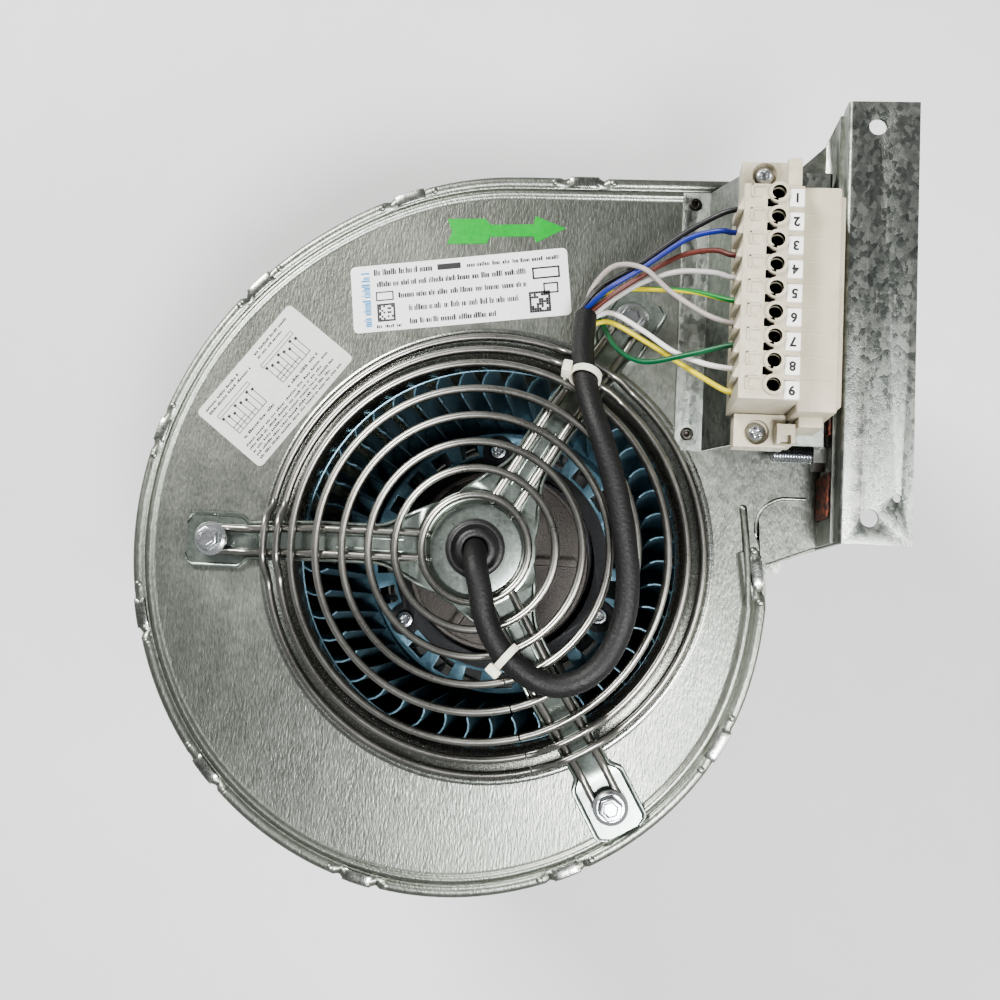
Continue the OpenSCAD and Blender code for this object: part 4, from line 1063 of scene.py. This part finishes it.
@dataclass
class OutletFrame(SubAssembly):
    """The outlet's flange, the mounting frame with its two rails, and what holds them together."""

    wall_x: float = 131.0
    nut_x: float = 128.0
    bolt_y: tuple[float, float] = (41.5, 137.5)
    bolt_z: float = 12.0
    tip_x: float = 108.0

    def places(self) -> list[Matrix]:
        """Where the frame bolts sit, with their heads towards +x."""
        heights = (self.bolt_z, -HOUSING_WIDTH - self.bolt_z)
        turn = Matrix.Rotation(math.radians(90), 4, "Y")
        return [Matrix.Translation((0, y, z)) @ turn for y in self.bolt_y for z in heights]

    def thread(self, bm: bmesh.types.BMesh, low: float, high: float, place: Matrix) -> None:
        """Adds a threaded shank."""
        profile = [(0.0, low), (2.3, low)]
        level = low + 0.4
        while level < high:
            profile += [(2.45, level), (2.9, level + 0.5)]
            level += 1.0
        lathe(bm, [*profile, (2.45, high), (0.0, high)], 20, place)

    def build(self) -> None:
        """Builds the outlet's pieces."""
        self.refine("outlet_flange", PLATE, 0.3)
        self.refine("mounting_frame", SPANGLED, 0.35)
        self.refine("flange_seal_strip", SEAL, 0.2)
        bolts, nuts = bmesh.new(), bmesh.new()
        for place in self.places():
            lathe(bolts, [(0, self.wall_x), (6.6, self.wall_x), (6.6, self.wall_x + 0.7), (6.0, self.wall_x + 1.5),
                          (0, self.wall_x + 1.6)], 40, place)
            hex_head(bolts, 5.6, self.wall_x + 0.8, self.wall_x + 4.7, 0.3, place)
            self.thread(bolts, self.tip_x, self.wall_x, place)
            hex_head(nuts, 5.6, self.nut_x - 5.0, self.nut_x, 0.0, place @ Matrix.Diagonal((1, 1, 1, 1)))
        self.keep("frame_bolts_turned", bolts, BOLT, ["frame_bolts"])
        self.keep("frame_nuts_hex", nuts, NUT, ["frame_nuts"])


@dataclass
class MotorCarrier(SubAssembly):
    """The three-armed pressing that carries the motor, its bolts and its rubber grommet."""

    hub_z: float = 25.0
    sheet: float = 1.5
    arm_width: float = 15.0
    foot_width: float = 22.0
    bend_r: float = 58.0
    foot_r: float = 93.0
    end_r: float = 119.0
    rib: float = 1.4
    seat_z: float = 5.06
    rear_seat_z: float = 3.06

    def arm(self, bm: bmesh.types.BMesh, angle: float) -> None:
        """Adds one arm with its raised edges and its foot."""
        corners = [(14, 0, self.hub_z), (self.bend_r, 0, self.hub_z), (self.foot_r, 0, 0.15), (self.end_r, 0, 0.15)]
        rough = rounded_line(corners, 5.0, 7)
        line = [rough[0]]
        for point in rough[1:]:
            pieces = max(1, int((point - line[-1]).length / 1.6))
            start = line[-1]
            line += [start.lerp(point, k / pieces) for k in range(1, pieces + 1)]
        web = 38.0

        def section(k: int) -> Profile:
            """The arm's section: flat between two raised edges, wider at both ends."""
            x = line[k].x
            half = self.arm_width / 2 + 9.5 * (1 - smooth_step(x, 12.0, web))
            half += (self.foot_width - self.arm_width) / 2 * smooth_step(x, self.foot_r - 1.0, self.foot_r + 5.0)
            corner = max(0.0, x - (self.end_r - 3.5)) / 3.5
            half -= 3.5 * (1 - math.sqrt(max(0.0, 1 - corner * corner)))
            fade = 1 - 0.45 * smooth_step(x, self.foot_r - 12.0, self.foot_r + 3.0)
            ridge = self.sheet + self.rib * smooth_step(x, 18.0, 26.0) * fade
            low, flat = 0.0, self.sheet
            return [
                (-half, low), (-half - 0.05, ridge - 0.35), (-half + 0.35, ridge), (-half + 0.9, ridge),
                (-half + 1.35, ridge - 0.3 * (ridge - flat)), (-half + 1.9, flat), (half - 1.9, flat),
                (half - 1.35, ridge - 0.3 * (ridge - flat)), (half - 0.9, ridge), (half - 0.35, ridge),
                (half + 0.05, ridge - 0.35), (half, low),
            ]

        part = bmesh.new()
        sweep(part, stations(line), section)
        bmesh.ops.recalc_face_normals(part, faces=part.faces)
        for s in (-1, 1):
            block(part, (27, s * 2.2 - 0.5, self.hub_z + self.sheet - 0.2),
                  (52, s * 2.2 + 0.5, self.hub_z + self.sheet + 0.3), 0.2)
        add_part(bm, part, turned(angle))

    def bolt(self, bm: bmesh.types.BMesh, seat: float, place: Matrix) -> None:
        """Adds a flanged hexagon bolt on a seat."""
        at = place @ Matrix.Translation((0, 0, seat))
        lathe(bm, [(0, 0), (6.5, 0), (6.75, 0.2), (6.75, 0.7), (6.5, 1.0), (5.9, 1.5), (5.2, 2.0), (0, 2.0)], 48, at)
        hex_head(bm, 4.75, 1.2, 6.0, 0.9, at)
        lathe(bm, [(0, -16), (2.4, -16), (2.9, -15), (2.9, 0.1), (0, 0.1)], 24, at)

    def build(self) -> None:
        """Builds the carrier, its bolts, nuts and grommet."""
        bm = bmesh.new()
        for angle in ARM_ANGLES:
            self.arm(bm, angle)
        top = self.hub_z + self.sheet
        lathe(bm, [(9.05, self.hub_z), (9.05, top + 1.2), (16.6, top + 1.2), (17.6, top + 0.95), (18.2, top + 0.3),
                   (18.6, top + 0.06), (21.6, top + 0.06), (22.2, top - 0.3), (22.2, self.hub_z)], 96, closed=True)
        self.keep("motor_spider_pressing", bm, SPIDER, ["motor_spider"])
        front, rear = bmesh.new(), bmesh.new()
        for angle in ARM_ANGLES:
            spin = Matrix.Rotation(math.radians(angle * 0.37), 4, "Z")
            self.bolt(front, self.seat_z, turned(angle) @ Matrix.Translation((BOLT_CIRCLE, 0, 0)) @ spin)
            self.bolt(rear, self.rear_seat_z, turned(angle) @ Matrix.Translation((BOLT_CIRCLE, 0, 0)) @ spin)
        Side.REAR.face(rear)
        bmesh.ops.reverse_faces(rear, faces=rear.faces)
        self.keep("spider_bolts_flanged", front, BOLT, ["spider_bolts"])
        self.keep("rear_guard_bolts_flanged", rear, BOLT, ["rear_guard_bolts"])
        self.refine("weld_nuts", NUT, 0.25)
        grommet = bmesh.new()
        low = self.hub_z - 3
        lathe(grommet, [(4.7, low), (10.6, low), (10.6, low + 2), (8.9, low + 2), (8.9, top + 1.25), (10.7, top + 1.25),
                        (11.1, top + 1.7), (10.9, top + 2.5), (10.2, top + 3.2), (9.3, top + 3.45), (8.6, top + 3.1),
                        (8.2, top + 2.2), (7.6, top + 1.7), (6.6, top + 2.3), (5.4, top + 2.6), (4.7, top + 2.2)],
              72, closed=True)
        self.keep("cable_grommet_moulded", grommet, RUBBER, ["cable_grommet"], smooth=60)


@dataclass
class WireGuard(SubAssembly):
    """A guard of welded wire rings on three hairpin spokes."""

    side: Side = Side.FRONT
    foot: float = 2.0
    wire: float = 3.0
    gap: float = 9.3
    start_r: float = 18.5
    bend_r: float = 58.0
    foot_r: float = 93.0
    lift: float = 28.0
    inner: tuple[float, ...] = (19.7, 29.6, 39.4, 49.3, 59.2)
    outer: tuple[tuple[float, float, float, float], ...] = (
        (70.7, 70.7, 22.2, 22.2), (77.7, 78.5, 17.3, 11.2), (84.4, 85.2, 12.7, 3.9),
    )
    joint_angle: float = 286.0

    def foot_z(self) -> float:
        """Height of the spokes' wire at the bolts."""
        return self.foot + self.wire / 2 + 0.05

    def ring(self, bm: bmesh.types.BMesh, place: Callable[[float], tuple[float, float]]) -> None:
        """Adds one ring of wire, open by a hair where its ends are butted.

        Args:
            bm: The mesh it is added to.
            place: Gives the radius and height at an angle.
        """
        steps = 144
        line = []
        for k in range(steps + 1):
            angle = self.joint_angle + 0.25 + 359.5 * k / steps
            radius, z = place(angle)
            line.append(polar(radius, angle, z))
        sweep(bm, stations(line), lambda k: circle_points(self.wire / 2, 12))

    def nearness(self, angle: float) -> float:
        """1 over a spoke, 0 away from it."""
        off = min(abs((angle - arm + 180) % 360 - 180) for arm in ARM_ANGLES)
        return 1 - smooth_step(off, 6.3, 9.6)

    def build(self) -> None:
        """Builds the rings, the spokes and their weld spots."""
        rings, spokes = bmesh.new(), bmesh.new()
        drop = 2.0 - self.foot
        for radius in self.inner:
            self.ring(rings, lambda a, r=radius: (r, self.lift + 2.65))
        for r_near, r_far, z_near, z_far in self.outer:
            scale = (r_near - self.bend_r) / (self.foot_r - self.bend_r)

            def place(angle: float, rn: float = r_near, rf: float = r_far, zn: float = z_near, zf: float = z_far,
                      s: float = scale) -> tuple[float, float]:
                """Radius and height of a ring that drops between the spokes."""
                near = self.nearness(angle)
                return rf + (rn - rf) * near, zf + (zn - drop * s - zf) * near

            self.ring(rings, place)
        z = self.foot_z()
        half = self.gap / 2
        for angle in ARM_ANGLES:
            part = bmesh.new()
            leg = [(self.start_r, self.lift), (self.bend_r, self.lift), (self.foot_r, z), (BOLT_CIRCLE - 2, z)]
            out = rounded_line([(r, half, h) for r, h in leg], 3.4, 6)
            back = [Vector((p.x, -p.y, p.z)) for p in reversed(out)]
            loop = [Vector((BOLT_CIRCLE, 0, z)) + Vector((half * math.sin(a), half * math.cos(a), 0))
                    for a in (math.pi * k / 16 for k in range(17))]
            sweep(part, stations([*out, *loop, *back]), lambda k: circle_points(self.wire / 2, 12))
            for s in (-1, 1):
                for radius in self.inner:
                    x = math.sqrt(radius * radius - half * half)
                    spot(part, Vector((x, s * half, self.lift + 1.33)), 1.25, 0.7)
                for r_near, _, z_near, _ in self.outer:
                    x = math.sqrt(r_near * r_near - half * half)
                    low = self.lift + (z - self.lift) * (x - self.bend_r) / (self.foot_r - self.bend_r)
                    spot(part, Vector((x + 0.6, s * half, low + 1.5)), 1.3, 0.8)
                spot(part, Vector((self.start_r, s * half, self.lift + 0.2)), 1.75, 0.9)
            add_part(spokes, part, turned(angle))
        for bm in (rings, spokes):
            bmesh.ops.recalc_face_normals(bm, faces=bm.faces)
            self.side.face(bm)
            if self.side is Side.REAR:
                bmesh.ops.reverse_faces(bm, faces=bm.faces)
        word = self.side.value
        self.keep(f"{word}_guard_rings_wire", rings, WIRE, [f"{word}_guard_rings"], smooth=60)
        self.keep(f"{word}_guard_spokes_wire", spokes, WIRE, [f"{word}_guard_spokes"], smooth=60)


@dataclass
class TerminalBlock(SubAssembly):
    """The bracket, the nine-pole strip with its plug and tags, and the two end clamps."""

    pole_x: float = 100.7
    pole_y: float = 58.0
    pitch: float = 8.3
    poles: int = 9
    top: float = 62.0
    tag_x: float = 106.85
    tag_drop: float = 1.6
    well_shift: float = 0.75
    well_reach: float = 3.3
    well_floor: float = 16.5
    well_lip: float = 1.5
    well_rows: tuple[float, float] = (55.0, 127.1)

    def pole(self, i: int) -> float:
        """Height of a pole up the strip, counted from the lowest."""
        return self.pole_y + self.pitch * i

    def strip(self) -> None:
        """Builds the strip with painted shade inside its wells, in the dark pole metal, and a funnel and a ridge at
        every pole.
        """
        bm = cad_shape("terminal_strip")
        bevel_sharp(bm, 0.22, 2)
        for face in bm.faces:
            at = face.calc_center_median()
            deep = self.well_lip < self.top - at.z < self.well_floor
            inside = self.well_rows[0] < at.y < self.well_rows[1]
            # The moulding's own walls deep in each well take the dark pole metal: painted shade of the well's depth, in
            # the colour of the metal clamp inside.
            if deep and inside and abs(at.x - self.pole_x + self.well_shift) < self.well_reach:
                face.material_index = 1
        for i in range(self.poles):
            y = self.pole(i)
            at = Matrix.Translation((self.pole_x, y, self.top))
            lathe(bm, [(2.35, -2.6), (2.35, -1.6), (2.9, 0.4), (3.1, 0.95), (3.45, 1.1), (3.7, 0.7), (3.75, -1.0),
                       (3.3, -1.4)], 32, at, closed=True)
            block(bm, (91.3, y + 2.0, self.top - 1), (95.7, y + 2.8, self.top + 0.7), 0.2)
            block(bm, (91.3, y - 1.6, self.top - 1), (92.2, y + 2.8, self.top + 0.7), 0.2)
            block(bm, (91.3, y - 1.6, self.top - 1), (94.4, y - 0.9, self.top + 0.5), 0.2)
        self.keep("terminal_strip_moulding", bm, TERMINAL, ["terminal_strip"], [POLE_AND_WELL_SHADE])

    def tags(self) -> None:
        """Builds the number tags with their numerals, 1 at the top."""
        bm = cad_shape("number_tags")
        bevel_sharp(bm, 0.3, 2)
        for number in range(1, self.poles + 1):
            curve = bpy.data.curves.new(f"numeral_{number}", "FONT")
            curve.body = str(number)
            curve.size = 4.4
            curve.align_x = "CENTER"
            curve.align_y = "CENTER"
            curve.extrude = 0.03
            curve.offset = 0.16
            curve.resolution_u = 3
            text = bpy.data.objects.new(curve.name, curve)
            bpy.context.scene.collection.objects.link(text)
            flat = bpy.data.meshes.new_from_object(text)
            bpy.data.objects.remove(text)
            part = bmesh.new()
            part.from_mesh(flat)
            bpy.data.meshes.remove(flat)
            middle = (self.tag_x, self.pole(self.poles - number) - self.tag_drop, self.top + 0.13)
            add_part(bm, part, Matrix.Translation(middle) @ turned(180), 1)
        self.keep("number_tags_printed", bm, TAG, ["number_tags"], [INK])

    def pole_screws(self) -> None:
        """Builds the slotted clamp screws down the funnels."""
        bm = bmesh.new()
        for i in range(self.poles):
            at = Matrix.Translation((self.pole_x, self.pole(i), self.top - 11)) @ turned(23 * i)
            lathe(bm, [(0, -5), (2.2, -5), (2.2, -0.3), (1.9, 0.0), (0, 0.0)], 24, at)
            for s in (-1, 1):
                block(bm, (-1.8, s * 1.05 - 0.65, -0.1), (1.8, s * 1.05 + 0.65, 0.7), 0.15, at)
        self.keep("pole_screws_slotted", bm, POLE_AND_WELL_SHADE, ["pole_screws"])

    def clamp_screws(self) -> None:
        """Builds the two pan-head screws of the end clamps, with cross recesses."""
        bm = bmesh.new()
        for y in (46.4, 141.8):
            at = Matrix.Translation((99.5, y, 31.0)) @ turned(22)
            lathe(bm, [(0, -13), (1.9, -13), (1.9, 0), (3.5, 0), (3.6, 0.5), (3.5, 1.5), (3.0, 2.3), (2.2, 2.75),
                       (1.9, 2.6), (1.2, 1.6), (0, 1.5)], 40, at)
            for turn in (0, 90, 180, 270):
                spin = at @ turned(turn + 45)
                block(bm, (0.75, -0.75, 1.3), (1.9, 0.75, 2.75), 0.25, spin)
        self.keep("end_clamp_screws_pan", bm, BOLT, ["end_clamp_screws"])

    def plug(self) -> None:
        """Builds the plug body with its faint ribs and rounded outer edge."""
        bm = bmesh.new()
        block(bm, (109.8, 50.7, 24.0), (123.5, 129.7, 54.0), 0.8, segments=3)
        block(bm, (122.6, 52.7, 24.0), (125.4, 127.7, 52.0), 1.2, segments=3)
        block(bm, (91.2, 54.2, 24.0), (110.0, 125.4, 26.9), 0.2)
        for i in range(self.poles):
            y = self.pole(i)
            block(bm, (111.4, y + 3.3, 53.0), (122.6, y + 3.8, 54.1), 0.05)
        block(bm, (112.4, 47.0, 26.0), (121.0, 51.0, 44.0), 0.8)
        self.keep("terminal_plug_moulding", bm, TERMINAL, ["terminal_plug"])

    def build(self) -> None:
        """Builds the connection side."""
        self.refine("terminal_bracket", SPANGLED, 0.45, 3)
        self.refine("bracket_rivets", POLE_AND_WELL_SHADE, 0.15)
        self.strip()
        self.tags()
        self.pole_screws()
        self.plug()
        self.refine("end_clamp_top", TERMINAL, 0.5, 3)
        self.refine("end_clamp_bottom", TERMINAL, 0.5, 3)
        self.clamp_screws()


@dataclass
class Labels(SubAssembly):
    """The two printed labels, with generic marks only, and the direction arrow."""

    skin: float = 0.15
    ink: float = 0.19

    def sheet_outline(self, length: float, width: float, corner: float = 2.0) -> list[tuple[float, float]]:
        """A rectangle with round corners, centred."""
        points = []
        for k, (sx, sy) in enumerate(((1, 1), (-1, 1), (-1, -1), (1, -1))):
            for step in range(7):
                angle = math.radians(90 * k + 15 * step)
                x = sx * (length / 2 - corner) + corner * math.cos(angle)
                y = sy * (width / 2 - corner) + corner * math.sin(angle)
                points.append((x, y))
        return points

    def words(self, bm: bmesh.types.BMesh, rng: random.Random, place: Matrix, x0: float, x1: float, y: float,
              height: float, number: int = 1) -> None:
        """Adds a row of bars in place of words, from x0 to x1."""
        x = x0
        while x < x1 - 0.6:
            end = min(x + rng.uniform(1.2, 6.5), x1)
            step = x
            while step < end:
                stroke = min(rng.uniform(0.35, 0.8), end - step)
                rise = height if rng.random() < 0.35 else height * 0.72
                block(bm, (step, y, self.skin - 0.02), (step + stroke, y + rise, self.ink), 0.0, place, number)
                step += stroke + rng.uniform(0.16, 0.26)
            x = end + rng.uniform(0.7, 1.2)

    def square_code(
        self, bm: bmesh.types.BMesh, rng: random.Random, place: Matrix, x: float, y: float, size: float
    ) -> None:
        """Adds a generic block of small squares."""
        cell = size / 9
        for i in range(9):
            for j in range(9):
                if i in (0, 8) or j in (0, 8) or rng.random() < 0.42:
                    block(bm, (x + i * cell, y + j * cell, self.skin - 0.02),
                          (x + (i + 0.96) * cell, y + (j + 0.96) * cell, self.ink), 0.0, place, 1)

    def frame_line(
        self, bm: bmesh.types.BMesh, place: Matrix, low: tuple[float, float], high: tuple[float, float], thick: float
    ) -> None:
        """Adds a printed rectangle drawn with a line."""
        (x0, y0), (x1, y1) = low, high
        z0, z1 = self.skin - 0.02, self.ink
        block(bm, (x0, y0, z0), (x1, y0 + thick, z1), 0.0, place, 1)
        block(bm, (x0, y1 - thick, z0), (x1, y1, z1), 0.0, place, 1)
        block(bm, (x0, y0, z0), (x0 + thick, y1, z1), 0.0, place, 1)
        block(bm, (x1 - thick, y0, z0), (x1, y1, z1), 0.0, place, 1)

    def rating(self) -> None:
        """Builds the white rating label."""
        rng = random.Random(11)
        place = Matrix.Translation((-15, 104.6, 0)) @ turned(7)
        bm = bmesh.new()
        prism(bm, self.sheet_outline(88, 27.5), 0.0, self.skin, 0.0, place)
        side = place @ Matrix.Translation((-37.6, -12.0, 0)) @ turned(90)
        self.words(bm, rng, side, 0.5, 23.0, -1.2, 3.4, 2)
        self.words(bm, rng, place, -34.5, -10, 9.4, 2.5)
        block(bm, (-8.5, 9.4, self.skin - 0.02), (1.0, 11.8, self.ink), 0.0, place, 1)
        self.words(bm, rng, place, 3.5, 40.5, 9.5, 1.7)
        self.words(bm, rng, place, -33.5, 27.0, 4.6, 2.3)
        self.words(bm, rng, place, -25.0, 27.0, -0.6, 2.3)
        self.words(bm, rng, place, -21.0, 24.0, -6.2, 2.5)
        self.words(bm, rng, place, -21.0, 14.0, -11.6, 2.3)
        self.words(bm, rng, place, -34.5, -24.5, -12.4, 1.3)
        self.square_code(bm, rng, place, -34.0, -9.8, 7.4)
        self.square_code(bm, rng, place, 27.5, -11.6, 8.6)
        self.frame_line(bm, place, (29.5, 2.0), (40.5, 6.8), 0.7)
        self.frame_line(bm, place, (33.5, -4.2), (39.5, 0.2), 0.6)
        self.frame_line(bm, place, (-34.2, -1.2), (-27.0, 2.6), 0.5)
        self.keep("rating_label_printed", bm, LABEL_WHITE, ["rating_label"], [INK, INK_BLUE])

    def wiring(self) -> None:
        """Builds the grey label with its line pattern."""
        rng = random.Random(23)
        place = Matrix.Translation((-88.1, 63.3, 0)) @ turned(52.8)
        bm = bmesh.new()
        prism(bm, self.sheet_outline(58, 35.4), 0.0, self.skin, 0.0, place)
        for row in range(2):
            self.words(bm, rng, place, -26, -6 + 5 * row, 14.4 - 2.1 * row, 1.1)
            self.words(bm, rng, place, 4, 24 - 4 * row, 14.4 - 2.1 * row, 1.1)
        for row in range(5):
            self.words(bm, rng, place, -26, 24 - 5 * (row % 2), -8.0 - 1.9 * row, 1.0)
        z0, z1 = self.skin - 0.02, self.ink
        for x0 in (-24.0, 3.0):
            for k in range(8):
                x = x0 + 2.4 * k
                block(bm, (x, -2.0, z0), (x + 0.3, 6.5 - (k % 3), z1), 0.0, place, 1)
                block(bm, (x - 0.45, 6.6 - (k % 3), z0), (x + 0.75, 7.7 - (k % 3), z1), 0.0, place, 1)
            for k in range(3):
                low = -2.0 + 1.7 * k
                block(bm, (x0, low, z0), (x0 + 17.0 - 4.8 * k, low + 0.3, z1), 0.0, place, 1)
            self.frame_line(bm, place, (x0 - 0.8, 8.2), (x0 + 18.0, 10.0), 0.25)
            self.words(bm, rng, place, x0, x0 + 18, -5.2, 1.2)
        self.keep("wiring_label_printed", bm, LABEL_GREY, ["wiring_label"], [INK])

    def build(self) -> None:
        """Builds the labels and the arrow."""
        self.rating()
        self.wiring()
        self.refine("direction_arrow", ARROW, 0.03, 1)


@dataclass
class Stator(SubAssembly):
    """The still part of the motor."""

    face_z: float = -68.0

    def build(self) -> None:
        """Builds the cast flange with its ribs, and dresses the inside."""
        bm = cad_shape("stator_flange")
        bevel_sharp(bm, 0.8, 3)
        z = self.face_z
        lathe(bm, [(38.6, z - 0.1), (38.6, z + 0.9), (39.2, z + 1.2),
                   (40.4, z + 1.2), (41.0, z + 0.7), (41.0, z - 0.1)],
              96, closed=True)
        self.keep("stator_flange_casting", bm, CAST, ["stator_flange"])
        self.paint("stator_core", LAMINATION)
        self.paint("stator_windings", COPPER)
        self.paint("front_bearing", BEARING)
        self.paint("rear_bearing", BEARING)


@dataclass
class BladedWheel(SubAssembly):
    """The turning part: rotor, hub disc and two rows of blades."""

    body: str = "wheel"
    rim_r: float = 80.0
    flange_z: float = -85.0

    def end_ring(self, side: Side) -> None:
        """Builds the ring that ties one row's blade tips together."""
        r = self.rim_r
        bm = bmesh.new()
        lathe(bm, [(r - 0.8, -24), (r, -24), (r, -17.9), (r - 0.35, -17.2), (r - 1.2, -17.0), (r - 3.4, -17.0),
                   (r - 4.0, -17.3), (r - 4.0, -17.9), (r - 0.8, -18.0)], 128, closed=True)
        side.face(bm)
        if side is Side.REAR:
            bmesh.ops.reverse_faces(bm, faces=bm.faces)
        self.keep(f"{side.value}_end_ring_rolled", bm, WHEEL, [f"{side.value}_end_ring"])

    def build(self) -> None:
        """Builds the wheel."""
        self.refine("rotor_can", ROTOR, 0.5, 3)
        self.paint("rotor_core", LAMINATION)
        self.paint("rotor_shaft", BEARING)
        self.refine("hub_disc", WHEEL, 0.25)
        for side in Side:
            self.refine(f"{side.value}_blades", WHEEL, 0.12, 1, 0.2)
            self.end_ring(side)
        bm = bmesh.new()
        for angle in SCREW_ANGLES:
            at = turned(angle) @ Matrix.Translation((52, 0, self.flange_z))
            lathe(bm, [(0, -7), (2, -7), (2, 0), (4.0, 0), (4.2, 0.4), (4.1, 1.5), (3.4, 2.4), (2.4, 2.6), (2.0, 2.3),
                       (1.9, 1.1), (0, 1.0)], 36, at)
            for turn in range(6):
                block(bm, (1.45, -0.35, 0.9), (2.4, 0.35, 2.35), 0.12, at @ turned(60 * turn))
        self.keep("impeller_screws_socket", bm, BOLT, ["impeller_screws"])


# ---------------------------------------------------------------- studio


@dataclass
class Studio:
    """The camera, the soft lights and the pale floor."""

    camera_at: tuple[float, float, float] = (-0.09545, -0.10990, 0.69039)
    lens: float = 40.39
    axes: tuple[tuple[float, float, float], ...] = (
        (0.995076, 0.053836, -0.083214), (-0.045588, 0.994138, 0.098022), (0.088004, -0.093746, 0.991698),
    )
    wall_level: float = 0.56
    ceiling_level: float = 0.13

    def camera(self) -> None:
        """Places the camera."""
        data = bpy.data.cameras.new("camera")
        data.lens = self.lens
        data.sensor_width = 36.0
        made = bpy.data.objects.new("camera", data)
        made.matrix_world = Matrix.Translation(self.camera_at) @ Matrix(self.axes).transposed().to_4x4()
        bpy.context.scene.collection.objects.link(made)
        bpy.context.scene.camera = made

    def light(self, name: str, at: Sequence[float], aim: Sequence[float], size: tuple[float, float], power: float,
              colour: Colour) -> None:
        """Adds a soft rectangular light."""
        data = bpy.data.lights.new(name, "AREA")
        data.shape = "RECTANGLE"
        data.size, data.size_y = size
        data.energy = power
        data.color = colour
        made = bpy.data.objects.new(name, data)
        made.location = at
        made.rotation_euler = (Vector(aim) - Vector(at)).to_track_quat("-Z", "Y").to_euler()
        bpy.context.scene.collection.objects.link(made)

    def floor(self) -> None:
        """Lays the floor."""
        bm = bmesh.new()
        bmesh.ops.create_grid(bm, x_segments=2, y_segments=2, size=4.0)
        bmesh.ops.translate(bm, vec=(ORIGIN.x, ORIGIN.y, -0.0002), verts=bm.verts)
        mesh = bpy.data.meshes.new("floor")
        bm.to_mesh(mesh)
        bm.free()
        paint = Finish("studio_floor", srgb(226, 227, 228), srgb(221, 222, 224), Grain.PAPER, 40.0, rough=(0.7, 0.8),
                       bump=0.0, grime=0.0)
        mesh.materials.append(paint.material())
        made = bpy.data.objects.new("floor", mesh)
        bpy.context.scene.collection.objects.link(made)

    def world(self) -> None:
        """Fills the room with light that is brighter towards the walls than overhead."""
        world = bpy.data.worlds.new("studio")
        world.use_nodes = True
        graph = Graph(world.node_tree)
        where = graph.add("ShaderNodeTexCoord").outputs["Generated"]
        height = graph.add("ShaderNodeSeparateXYZ", {0: where}).outputs[2]
        level = graph.span(height, 0.1, 0.95, (self.wall_level, self.ceiling_level))
        back = world.node_tree.nodes["Background"]
        back.inputs[0].default_value = (0.95, 0.955, 0.96, 1.0)
        world.node_tree.links.new(level, back.inputs[1])
        bpy.context.scene.world = world

    def build(self) -> None:
        """Sets up the studio round the object."""
        middle = (ORIGIN.x, ORIGIN.y, 0.2)
        self.camera()
        self.world()
        self.floor()
        self.light("key", (-0.95, 0.75, 1.25), middle, (0.55, 0.4), 30.0, (1.0, 0.985, 0.955))
        self.light("fill", (0.9, -0.5, 1.1), middle, (0.6, 0.4), 11.0, (1.0, 0.96, 0.92))
        self.light("front", (0.10, -0.40, 1.15), middle, (0.25, 0.2), 13.0, (0.98, 0.985, 1.0))
        bpy.context.scene.view_settings.look = "AgX - Medium High Contrast"


def main() -> None:
    """Builds the camera and cords, then every sub-assembly."""
    logging.basicConfig(level=logging.INFO, format="%(name)s: %(message)s")
    Studio().build()
    parts: tuple[SubAssembly, ...] = (
        MotorLead(), CableTies(), ScrollHousing(), OutletFrame(), MotorCarrier(),
        WireGuard(side=Side.FRONT, foot=2.0), WireGuard(side=Side.REAR, foot=0.0),
        TerminalBlock(), Labels(), Stator(), BladedWheel(),
    )
    for part in parts:
        part.build()
        log.info("%s done", type(part).__name__)


if __name__ == "__main__":
    main()
